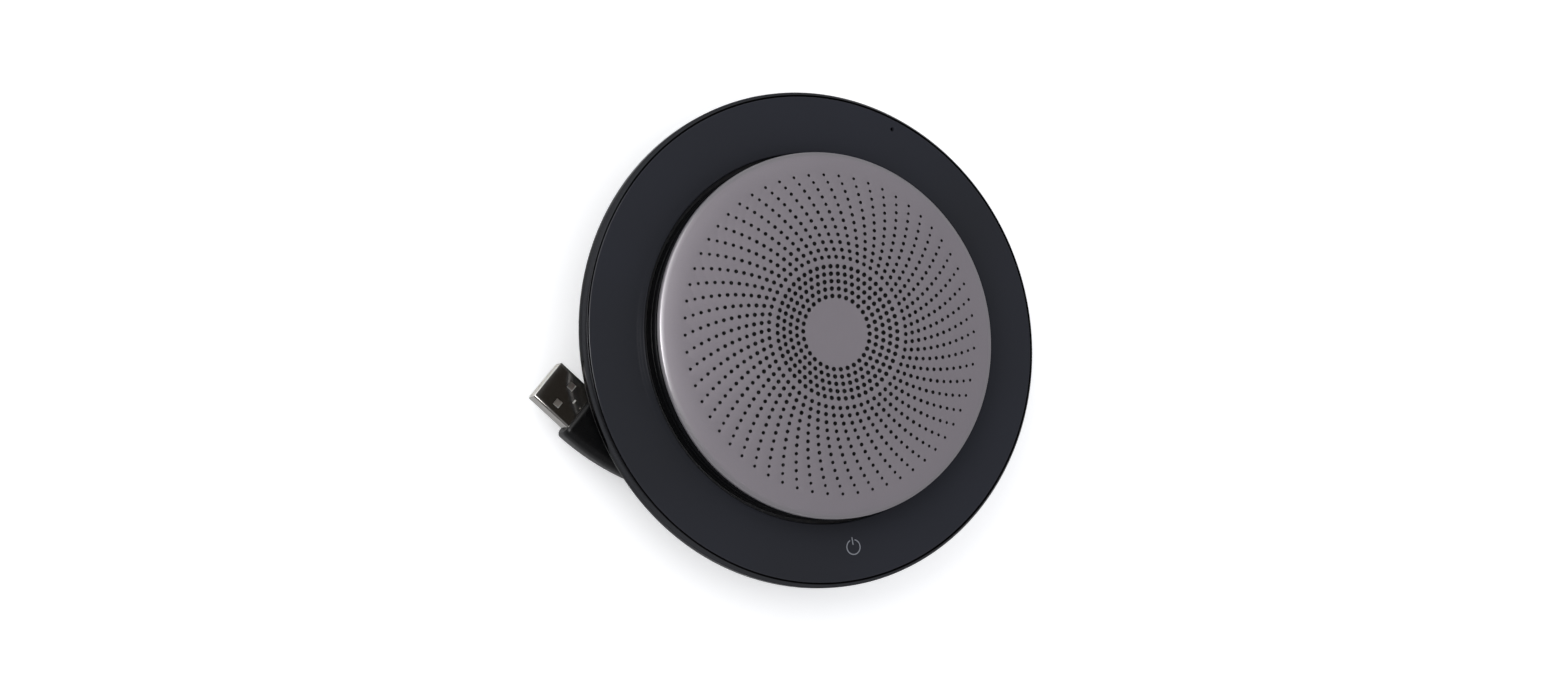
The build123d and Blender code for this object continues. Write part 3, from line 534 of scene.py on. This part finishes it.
def hole_table():
    """(x, y, radius) of the 930 holes."""
    holes = []
    for ring in INNER_RINGS:
        for n in range(6 * ring):
            place = polar(INNER_PITCH * ring, INNER_START + 60.0 * n / ring)
            holes.append((place.x, place.y, INNER_HOLE_R))
    for ring, size in enumerate(OUTER_HOLE_RS):
        for n in range(OUTER_COUNT):
            angle = OUTER_START + OUTER_TWIST * ring + 360.0 * n / OUTER_COUNT
            place = polar(OUTER_R + OUTER_PITCH * ring, angle)
            holes.append((place.x, place.y, size))
    return holes


def make_grille():
    """Perforated crowned sheet: a flat triangulation lifted twice, joined by hole walls and a rolled rim."""
    lip = 0.1
    holes = hole_table()
    flat = []
    edges = []
    owner = []

    def add_loop(cx, cy, radius, sides, mark, offset=0.0):
        first = len(flat)
        for n in range(sides):
            a = 2 * pi * (n + offset) / sides
            flat.append(Vector((cx + radius * cos(a), cy + radius * sin(a))))
            owner.append(mark)
        for n in range(sides):
            edges.append((first + n, first + (n + 1) % sides))
        return list(range(first, first + sides))

    loops = [add_loop(x, y, radius + lip, HOLE_SIDES, i) for i, (x, y, radius) in enumerate(holes)]
    plain_rings = [(3.0, 24), (6.0, 40), (8.2, 60)] + [(r, RIM_SIDES) for r in (43.4, 44.6, 45.8, 47.0)]
    for r, sides in plain_rings:
        add_loop(0, 0, r, sides, -1)
    rim = add_loop(0, 0, GRILLE_R - EDGE_ROLL, RIM_SIDES, -1)
    points, _, faces, origin, _, _ = delaunay_2d_cdt(flat, edges, [], 1, 1e-6)
    where = {source: i for i, sources in enumerate(origin) for source in sources}

    bm = bmesh.new()
    top = [bm.verts.new(Vector((p.x, p.y, crown_height(p.length))) * MM) for p in points]
    under = [bm.verts.new(Vector((p.x, p.y, crown_height(p.length) - SHEET)) * MM) for p in points]
    marks = {where[i]: mark for i, mark in enumerate(owner)}
    for face in faces:
        kinds = {marks.get(i, -1) for i in face}
        if len(kinds) == 1 and kinds != {-1}:
            continue
        bm.faces.new([top[i] for i in face])
        bm.faces.new([under[i] for i in reversed(face)])
    eased_wall = ((0.03, 0.02), (0.0, lip), (0.0, SHEET - 0.08))     # (outset, depth) down each hole
    for (x, y, radius), loop in zip(holes, loops):
        rings = [[top[where[i]] for i in loop]]
        for inset, drop in eased_wall:
            ring = []
            for n in range(HOLE_SIDES):
                a = 2 * pi * n / HOLE_SIDES
                px, py = x + (radius + inset) * cos(a), y + (radius + inset) * sin(a)
                ring.append(bm.verts.new(Vector((px, py, crown_height(hypot(px, py)) - drop)) * MM))
            rings.append(ring)
        rings.append([under[where[i]] for i in loop])
        for ring, following in zip(rings, rings[1:]):
            for n in range(HOLE_SIDES):
                m = (n + 1) % HOLE_SIDES
                wall = bm.faces.new((ring[n], following[n], following[m], ring[m]))
                # Walls below the eased lip get the second material, the painted shade.
                wall.material_index = 0 if ring is rings[0] else 1
    outside = []
    roll_start = 68
    roll_steps = 8
    roll_z = SHOULDER(GRILLE_R - EDGE_ROLL) - 0.15 - EDGE_ROLL * sin(radians(roll_start))
    for n in range(roll_steps + 1):
        a = radians(roll_start * (1 - n / roll_steps))
        outside.append((GRILLE_R - EDGE_ROLL + EDGE_ROLL * cos(a), roll_z + EDGE_ROLL * sin(a)))
    ease = 0.15
    outside += [(GRILLE_R, GRILLE_FLOOR + ease), (GRILLE_R - ease, GRILLE_FLOOR)]
    outside += [(GRILLE_R - SHEET, GRILLE_FLOOR), (GRILLE_R - SHEET, roll_z)]
    rings = [[top[where[i]] for i in rim]]
    for r, z in outside:
        turn = [2 * pi * n / RIM_SIDES for n in range(RIM_SIDES)]
        rings.append([bm.verts.new(Vector((r * cos(a), r * sin(a), z)) * MM) for a in turn])
    rings.append([under[where[i]] for i in rim])
    for ring, following in zip(rings, rings[1:]):
        for n in range(RIM_SIDES):
            m = (n + 1) % RIM_SIDES
            bm.faces.new((ring[n], ring[m], following[m], following[n]))
    obj = new_object("grille_sheet", bm, "housing", GRILLE_COAT, 35)
    # Second material: the painted shade on the hole walls.
    obj.data.materials.append(HOLE_SHADE)
    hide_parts("grille")


# ---- collar, ring and trim ----------------------------------------------------------------
def make_collar():
    """Gloss wall with two fine shadow lines, a spigot for the grille and a ledge inside."""
    shadow_lines = (21.2, 24.15)
    depth = 0.25
    ease = 0.1
    low, shoulder, high = bottom_of("collar"), GRILLE_FLOOR - 0.1, top_of("collar")
    spigot_r = GRILLE_R - SHEET - 0.1
    ledge_r, ledge_low, ledge_top = 42.0, 20.9, 22.5
    corners = [(COLLAR_IN_R, low, ease), (COLLAR_R, low, ease)]
    for z in shadow_lines:
        corners += [(COLLAR_R, z, 0.06), (COLLAR_R - depth, z, 0), (COLLAR_R - depth, z + depth, 0)]
        corners.append((COLLAR_R, z + depth, 0.06))
    corners += [(COLLAR_R, shoulder, 0.08), (spigot_r, shoulder, 0), (spigot_r, high, ease)]
    corners += [(COLLAR_IN_R, high, ease), (COLLAR_IN_R, ledge_top, 0)]
    corners += [(ledge_r, ledge_top, ease), (ledge_r, ledge_low, ease), (COLLAR_IN_R, ledge_low, 0)]
    obj = new_object("collar_wall", lathe_mesh(rounded(corners)), "housing", GLOSS)
    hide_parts("collar")


def make_touch_ring():
    """Flat panel with eased edges and the microphone port; its face has rings of points that keep it even."""
    outside = RING_OUT_R - 0.1
    corners = [(RING_IN_R, RING_FLOOR, 0.1), (outside, RING_FLOOR, 0.1), (outside, RING_TOP, 0.28)]
    corners += [(r, RING_TOP, 0) for r in (64.0, 61.0, 57.0, 53.0)]
    corners.append((RING_IN_R, RING_TOP, 0.4))
    obj = new_object("ring_panel", lathe_mesh(rounded(corners, 6), 360), "housing", SMOKED)
    gasket_low, gasket_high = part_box("mic_gasket")
    port = (gasket_low + gasket_high) / 2 / MM
    port_r, mouth_r = 0.5, 0.65
    drill = lathe_mesh([
        (0, RING_FLOOR - 1), (port_r, RING_FLOOR - 1), (port_r, RING_TOP - 0.15),
        (mouth_r, RING_TOP + 0.1), (mouth_r, RING_TOP + 1), (0, RING_TOP + 1),
    ], 24)
    bmesh.ops.translate(drill, vec=Vector((port.x, port.y, 0)) * MM, verts=drill.verts)
    cut(obj, drill)
    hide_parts("touch_ring")


def make_trim():
    """Bevelled rim with its inner foot."""
    inside = RING_OUT_R + 0.1
    foot_r = inside - 0.6
    bevel, drop = 0.9, 1.4
    corners = [
        (foot_r, TRIM_FLOOR, 0), (BODY_R, TRIM_FLOOR, 0.12), (BODY_R, RING_TOP - drop, 0.35),
        (BODY_R - bevel, RING_TOP, 0.15), (inside, RING_TOP, 0.02), (inside, RING_FLOOR, 0),
        (foot_r, RING_FLOOR, 0),
    ]
    obj = new_object("rim_trim", lathe_mesh(rounded(corners, 5), 360), "housing", TRIM)
    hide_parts("trim_ring")


def make_power_mark():
    """Power symbol: open ring and a bar, a hair above the panel."""
    centre_r = 56.25
    ring_r = 1.95
    half = 0.15
    gap = radians(20)
    bar_low, bar_high = 0.6, 2.6
    lift = 0.02
    bm = bmesh.new()
    steps = 40

    def ribbon(points):
        low = [bm.verts.new(Vector((x, y - centre_r, RING_TOP - lift)) * MM) for x, y in points]
        high = [bm.verts.new(Vector((x, y - centre_r, RING_TOP + lift)) * MM) for x, y in points]
        bm.faces.new(high)
        bm.faces.new(list(reversed(low)))
        for n in range(len(points)):
            m = (n + 1) % len(points)
            bm.faces.new((low[n], low[m], high[m], high[n]))

    turn = [pi / 2 + gap + (2 * pi - 2 * gap) * n / steps for n in range(steps + 1)]
    outer = [((ring_r + half) * cos(a), (ring_r + half) * sin(a)) for a in turn]
    inner = [((ring_r - half) * cos(a), (ring_r - half) * sin(a)) for a in reversed(turn)]
    ribbon(outer + inner)
    ribbon([(-half, bar_low), (half, bar_low), (half, bar_high), (-half, bar_high)])
    obj = new_object("power_mark", bm, "housing", MARK)


def make_foot():
    """Rubber foot with three fine grip grooves."""
    wide, pitch, depth = 4.8, 1.2, 0.3
    mouth, floor = 0.2, 0.1      # half widths of a groove
    ease, lip = 0.35, 0.08
    inside = FOOT_R - wide
    corners = [(inside, FOOT_TOP, 0), (inside, 0, ease)]
    for n in range(3):
        r = inside + pitch * (n + 1)
        corners += [(r - mouth, 0, lip), (r - floor, depth, 0), (r + floor, depth, 0), (r + mouth, 0, lip)]
    corners += [(FOOT_R, 0, ease), (FOOT_R, FOOT_TOP, 0)]
    obj = new_object("foot_pad", lathe_mesh(rounded(corners, 3), 256), "housing", RUBBER)
    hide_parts("foot_ring")


# ---- cone suspension ----------------------------------------------------------------------
SECTORS = 12


def make_suspension(node, line, thick, material):
    """Ring over a line of (radius, height) points.

    It is cut into sectors, because a piece can bend along one direction only: here its own radius.
    """
    profile = line + [(r, z + thick) for r, z in reversed(line)]
    half = 180 / SECTORS
    steps = 8
    for n in range(SECTORS):
        middle = 2 * half * n
        spins = [middle + half * (2 * k / steps - 1) for k in range(steps + 1)]
        sector = loft_mesh([[polar(r, spin, z) for r, z in profile] for spin in spins])
        obj = new_object(f"{node}_{n + 1}", sector, None, material)
        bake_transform(obj)
        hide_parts(node)


def make_surround():
    """Half roll of rubber with flat lips on the cone and the basket."""
    in_r, roll_in_r, held_r, roll_out_r, out_r = 24.7, 26.2, 30.1, 31.0, 33.8
    floor, rise, thick = bottom_of("surround"), 1.6, 0.4
    middle_r, half = (roll_in_r + roll_out_r) / 2, (roll_out_r - roll_in_r) / 2
    steps = 16
    line = [(in_r, floor)]
    for n in range(steps + 1):
        a = pi * n / steps
        line.append((middle_r - half * cos(a), floor + rise * sin(a)))
    line.append((out_r, floor))
    make_suspension("surround", line, thick, RUBBER)


def make_spider():
    """Woven ring with two corrugations."""
    in_r, first_r, last_r, held_r, out_r = 10.2, 11.2, 14.4, 15.0, 17.4
    floor, wave, pitch, thick = bottom_of("spider"), 0.35, 1.6, 0.25
    steps = 24
    line = [(in_r, floor)]
    for n in range(steps + 1):
        out = (last_r - first_r) * n / steps
        line.append((first_r + out, floor + wave / 2 * (1 - cos(2 * pi * out / pitch))))
    line.append((out_r, floor))
    make_suspension("spider", line, thick, SPIDER_CLOTH)


# ---- cable and plug -----------------------------------------------------------------------
CABLE_R = 1.7
PLUG_Z = 8.6
PIVOT = Vector(next(j for j in frame["joints"] if j["name"] == "plug_swing")["pos_m"]) / MM
WIND_R = 43.9
WIND_END = 570.0
FLARE_ANGLE = 108.0       # the cable leaves the drum over this much of its last turn
FLARE_POWER = 1.2
RISE_ANGLE = 75.0
TOP_TURN_Z = 11.05
LOW_TURN_Z = 6.15
TAIL_TURN = 24.0          # the first of the winding, drawn as the separate tail
PLUG_HEADING = 130.0
BOOT_FRONT = Vector((-66.1, -9.4, PLUG_Z))
BOOT_L = 33.0
BOOT_W = 16.0
BOOT_T = 7.4
BOOT_TAPER = 10.8         # width lost at the cable end
BOOT_THINNING = 2.6       # height lost there
BOOT_ROLL = 0.55          # radius of its rolled front edge
GROOVES = (24.5, 27.5, 30.5)
GROOVE_HALF = 0.55
GROOVE_DEPTH = 0.4
BOOT_TURN = 13.0          # degrees that the centreline bends over REACH
REACH = 42.1              # from the boot's front to the pivot
SHELL_L = 12.0
SHELL_W = 12.0
SHELL_T = 4.5
SHELL_WALL = 0.35
SHELL_BEND = 0.8
# Marks in the shell: AT is along it from the boot's front, X is across it.
WINDOW_AT = 6.0
WINDOW_X = 2.9
WINDOW = 1.9
SLIT_AT = 2.9
SLIT_X = 0.4
SLIT_L = 0.5
SLIT_W = 1.2
SHELL_DIMPLE_AT = 0.8
BOOT_DIMPLE_AT = -1.5
DIMPLE = [(0, -0.2), (0.22, -0.2), (0.28, 0.2), (0, 0.2)]
SQUARE = ((-1, -1), (1, -1), (1, 1), (-1, 1))


def wind_point(turn):
    """Centre of the cable, turn degrees from its free end."""
    start = degrees(atan2(PIVOT.y, PIVOT.x))
    off_drum = (PIVOT.xy.length - WIND_R) * max(0.0, 1 - turn / FLARE_ANGLE) ** FLARE_POWER
    if turn <= RISE_ANGLE:
        t = turn / RISE_ANGLE
        z = PLUG_Z + (TOP_TURN_Z - PLUG_Z) * t * t * (3 - 2 * t)
    else:
        z = TOP_TURN_Z - (TOP_TURN_Z - LOW_TURN_Z) * (turn - RISE_ANGLE) / (WIND_END - RISE_ANGLE)
    return polar(WIND_R + off_drum, start + turn, z)


def boot_place(s):
    """Origin, backward, sideways and up directions on the cable's centreline, s behind the boot's front."""
    bend_r = REACH / radians(BOOT_TURN)
    turned_by = BOOT_TURN * s / REACH
    back, left = polar(1, PLUG_HEADING + 180), polar(1, PLUG_HEADING + 270)
    ahead = bend_r * sin(radians(turned_by))
    aside = bend_r * (1 - cos(radians(turned_by)))
    origin = BOOT_FRONT + back * ahead + left * aside
    heading = PLUG_HEADING + 180 + turned_by
    return origin, polar(1, heading), polar(1, heading + 90), Vector((0, 0, 1))


def make_cable():
    """Cable wound in its groove, and the tail that bends between the winding and the boot."""
    steps = 260
    turns = [TAIL_TURN + (WIND_END - TAIL_TURN) * n / steps for n in range(steps + 1)]
    wound = tube_mesh([wind_point(turn) for turn in turns], CABLE_R)
    winding = new_object("cable_winding", wound, "housing", JACKET)
    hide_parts("usb_cable")
    seat = BOOT_L - 6.0       # the tail starts inside the boot
    straight_steps, wound_steps = 12, 16
    path = [boot_place(seat + (REACH - seat) * n / straight_steps)[0] for n in range(straight_steps)]
    path += [wind_point(TAIL_TURN * n / wound_steps) for n in range(wound_steps + 1)]
    tail = new_object("cable_tail", tube_mesh(path, CABLE_R), None, JACKET)
    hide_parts("cable_end")
    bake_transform(tail)


def rounded_rectangle(wide, high, corner, steps=5):
    """Loop of (across, up) points, anticlockwise."""
    points = []
    reach_x, reach_y = wide / 2 - corner, high / 2 - corner
    for quarter, (sx, sy) in enumerate(((1, 1), (-1, 1), (-1, -1), (1, -1))):
        for n in range(steps + 1):
            a = pi / 2 * (quarter + n / steps)
            points.append((sx * reach_x + corner * cos(a), sy * reach_y + corner * sin(a)))
    return points


def make_boot():
    """Curved moulded boot: rolled front edge, a dimple and three relief grooves at the tail."""
    sections = []
    steps = 66
    for n in range(steps + 1):
        s = BOOT_L * n / steps
        inset = 0.0
        if s < 1.0:
            inset = BOOT_ROLL * (1.0 - sqrt(1 - (1 - s) ** 2))
        if any(abs(s - groove) < GROOVE_HALF for groove in GROOVES):
            inset = GROOVE_DEPTH
        wide = BOOT_W - BOOT_TAPER * (s / BOOT_L) ** 2.1 - 2 * inset
        high = BOOT_T - BOOT_THINNING * (s / BOOT_L) ** 2 - 2 * inset
        origin, _, side, up = boot_place(s)
        corner = high * (0.3 + 0.18 * s / BOOT_L)
        sections.append([origin + side * x + up * y for x, y in rounded_rectangle(wide, high, corner)])
    obj = new_object("plug_grip", loft_mesh(sections), "plug", BOOT, 50)
    origin, back, side, up = boot_place(0)
    gap = 0.1
    mouth = rounded_rectangle(SHELL_W + 2 * gap, SHELL_T + 2 * gap, SHELL_BEND + gap)
    seat = [origin + back * depth for depth in (-1.0, 3.0)]
    cut(obj, loft_mesh([[middle + side * x + up * y for x, y in mouth] for middle in seat]))
    dimple = lathe_mesh(DIMPLE, 16)
    spot = origin - back * BOOT_DIMPLE_AT + up * BOOT_T / 2
    bmesh.ops.translate(dimple, vec=spot * MM, verts=dimple.verts)
    cut(obj, dimple)
    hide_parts("plug_boot")


def shell_point(along, across, height):
    """Point in the shell's own directions, from the middle of the boot's front."""
    origin, back, side, up = boot_place(0)
    return origin - back * along + side * across + up * height


def shell_section(along, inset, bend):
    outline = rounded_rectangle(SHELL_W - 2 * inset, SHELL_T - 2 * inset, bend)
    return [shell_point(along, x, y) for x, y in outline]


def shell_punch(along, across, face, long, wide):
    """Box through one wide face of the shell: face is 1 for the upper, -1 for the lower."""
    reach = 0.5
    middle = face * SHELL_T / 2
    return loft_mesh([
        [shell_point(along + sx * long / 2, across + sy * wide / 2, level) for sx, sy in SQUARE]
        for level in (middle - reach, middle + reach)
    ])


def make_shell():
    """Folded plug shell with its latch windows, a slit and a dimple."""
    lead = 0.25
    back_end = -6.0
    loops = [
        shell_section(back_end, 0.0, SHELL_BEND),
        shell_section(SHELL_L - lead, 0.0, SHELL_BEND),
        shell_section(SHELL_L, lead / 2, SHELL_BEND),
        shell_section(SHELL_L, SHELL_WALL, SHELL_BEND - SHELL_WALL),
        shell_section(back_end, SHELL_WALL, SHELL_BEND - SHELL_WALL),
    ]
    front_edge, inner_wall = 2, 3
    bm = bmesh.new()
    rings = [[bm.verts.new(point * MM) for point in loop] for loop in loops]
    for i, ring in enumerate(rings):
        following = rings[(i + 1) % len(rings)]
        for n in range(len(ring)):
            m = (n + 1) % len(ring)
            face = bm.faces.new((ring[n], ring[m], following[m], following[n]))
            face.material_index = 1 if i in (front_edge, inner_wall) else 0
    obj = new_object("plug_shell_steel", bm, "plug", PLUG_STEEL)
    obj.data.materials.append(PLUG_INSIDE)
    for face in (1, -1):
        for across in (-WINDOW_X, WINDOW_X):
            cut(obj, shell_punch(WINDOW_AT, across, face, WINDOW, WINDOW))
    cut(obj, shell_punch(SLIT_AT, SLIT_X, 1, SLIT_L, SLIT_W))
    dimple = lathe_mesh(DIMPLE, 16)
    spot = shell_point(SHELL_DIMPLE_AT, 0.0, SHELL_T / 2)
    bmesh.ops.translate(dimple, vec=spot * MM, verts=dimple.verts)
    cut(obj, dimple)
    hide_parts("plug_shell")


def make_latch_leaves():
    """Thin leaf in each latch window, higher towards the middle of the shell, at its wall."""
    half_long, half_wide, half_thick = 0.84, 0.8, 0.05
    slope, shift = 0.1, 0.07
    height = SHELL_T / 2 - SHELL_WALL / 2
    sides = ((0, 1, 2, 3), (4, 5, 6, 7), (0, 1, 5, 4), (1, 2, 6, 5), (2, 3, 7, 6), (3, 0, 4, 7))
    bm = bmesh.new()
    for face in (1, -1):
        for across in (-WINDOW_X, WINDOW_X):
            leaf = []
            for level in (height - half_thick, height + half_thick):
                for sx, sy in SQUARE:
                    lean = slope * sy * (1 if across < 0 else -1)
                    along = WINDOW_AT + shift + sx * half_long
                    spot = shell_point(along, across + shift + sy * half_wide, face * (level + lean))
                    leaf.append(bm.verts.new(spot * MM))
            for side in sides:
                bm.faces.new([leaf[i] for i in side])
    leaves = new_object("plug_latch_leaves", bm, "plug", LEAF)


# ---- stage --------------------------------------------------------------------------------
def floor_finish():
    """Pale floor, white to the camera and dimmer in reflections; clear when seen from below."""
    material, nodes, links, shader = node_material("pale_floor")
    place = nodes.new("ShaderNodeTexCoord")
    path = nodes.new("ShaderNodeLightPath")
    cloudy = noise(nodes, links, place, 6.0, 2.0)
    pale = two_tone(nodes, links, cloudy, (0.86, 0.86, 0.86), (0.88, 0.88, 0.88))
    seen = mix_colours(nodes, links, path.outputs["Is Glossy Ray"], pale, (0.68, 0.68, 0.68))
    links.new(seen, shader.inputs["Base Color"])
    shader.inputs["Roughness"].default_value = 0.7
    glow = ranged(nodes, links, path.outputs["Is Camera Ray"], 0.0, 0.36, 0.0, 1.0)
    shader.inputs["Emission Color"].default_value = (1, 1, 1, 1)
    links.new(glow, shader.inputs["Emission Strength"])
    clear = nodes.new("ShaderNodeBsdfTransparent")
    geometry = nodes.new("ShaderNodeNewGeometry")
    mix = nodes.new("ShaderNodeMixShader")
    links.new(geometry.outputs["Backfacing"], mix.inputs["Fac"])
    links.new(shader.outputs["BSDF"], mix.inputs[1])
    links.new(clear.outputs["BSDF"], mix.inputs[2])
    links.new(mix.outputs["Shader"], nodes["Material Output"].inputs["Surface"])
    return material


def make_floor():
    """Flat ring: its opening, hidden by the foot, lets light reach the underside for views from below."""
    opening_r, reach = 42 * MM, 3.0
    sides = 64
    turn = [2 * pi * n / sides for n in range(sides)]
    bm = bmesh.new()
    inner, outer = ([bm.verts.new((r * cos(a), r * sin(a), 0)) for a in turn] for r in (opening_r, reach))
    for n in range(sides):
        m = (n + 1) % sides
        bm.faces.new((inner[n], outer[n], outer[m], inner[m]))
    mesh = bpy.data.meshes.new("floor")
    bm.to_mesh(mesh)
    bm.free()
    mesh.materials.append(floor_finish())
    floor = bpy.data.objects.new("floor", mesh)
    bpy.context.scene.collection.objects.link(floor)


def soft_light(name, direction, distance, size, power):
    data = bpy.data.lights.new(name, "AREA")
    data.shape = "DISK"
    data.size = size
    data.energy = power
    light = bpy.data.objects.new(name, data)
    bpy.context.scene.collection.objects.link(light)
    back = Vector(direction).normalized()
    light.location = back * distance
    light.rotation_mode = "QUATERNION"
    light.rotation_quaternion = back.to_track_quat("Z", "Y")


def sky_patch(nodes, links, direction, full, fade):
    """1 inside an angle full of a direction, 0 outside an angle fade, in degrees."""
    place = nodes.new("ShaderNodeTexCoord")
    dot = nodes.new("ShaderNodeVectorMath")
    dot.operation = "DOT_PRODUCT"
    dot.inputs[1].default_value = Vector(direction).normalized()
    links.new(place.outputs["Generated"], dot.inputs[0])
    ramp = nodes.new("ShaderNodeMapRange")
    ramp.interpolation_type = "SMOOTHSTEP"
    ramp.inputs["From Min"].default_value = cos(radians(fade))
    ramp.inputs["From Max"].default_value = cos(radians(full))
    links.new(dot.outputs["Value"], ramp.inputs["Value"])
    return ramp.outputs["Result"]


def make_light():
    """Even white dome; polished faces mirror a dim room, a dark card overhead and a soft box instead."""
    white = (0.86, 0.87, 0.9)
    room, near_room = (0.3, 0.3, 0.31), (0.2, 0.2, 0.21)
    card_black, box_white = (0.03, 0.026, 0.022), (9.0, 9.0, 9.0)
    soft_light("key", (-0.7, 0.6, 0.75), distance=1.6, size=1.4, power=9.5)
    world = bpy.data.worlds.new("studio")
    world.use_nodes = True
    bpy.context.scene.world = world
    nodes, links = world.node_tree.nodes, world.node_tree.links
    near_side = sky_patch(nodes, links, (-1.0, 0.0, 0.0), full=20, fade=60)
    card = sky_patch(nodes, links, (0.43, 0.04, 0.9), full=24, fade=44)
    softbox = sky_patch(nodes, links, (-0.62, 0.12, 0.78), full=4, fade=16)
    mirrored = mix_colours(nodes, links, near_side, room, near_room)
    mirrored = mix_colours(nodes, links, card, mirrored, card_black)
    mirrored = mix_colours(nodes, links, softbox, mirrored, box_white)
    path = nodes.new("ShaderNodeLightPath")
    colour = mix_colours(nodes, links, path.outputs["Is Glossy Ray"], white, mirrored)
    links.new(colour, nodes["Background"].inputs["Color"])


def make_camera():
    """Camera above the user's left, rolled so that the user's side is at the lower right."""
    azimuth, elevation, roll = radians(-84.16), radians(64.25), radians(75.25)
    distance = 0.686
    aim = Vector((-0.01026, -0.0003, RING_TOP * MM))
    back = Vector((sin(azimuth) * cos(elevation), -cos(azimuth) * cos(elevation), sin(elevation)))
    level = Vector((0, 0, 1)).cross(back).normalized()
    rise = back.cross(level)
    across = level * cos(roll) + rise * sin(roll)
    up = back.cross(across)
    data = bpy.data.cameras.new("camera")
    data.sensor_width = 36.0
    data.lens = 59.75
    data.clip_start = 0.01
    camera = bpy.data.objects.new("camera", data)
    bpy.context.scene.collection.objects.link(camera)
    camera.matrix_world = Matrix((across, up, back)).transposed().to_4x4()
    camera.location = aim + back * distance
    bpy.context.scene.camera = camera


# ---- build --------------------------------------------------------------------------------
dress_cad_nodes()
make_grille()
make_collar()
make_touch_ring()
make_trim()
make_power_mark()
make_foot()
make_surround()
make_spider()
make_cable()
make_boot()
make_shell()
make_latch_leaves()
make_floor()
make_light()
make_camera()
bpy.context.scene.view_settings.view_transform = "Standard"
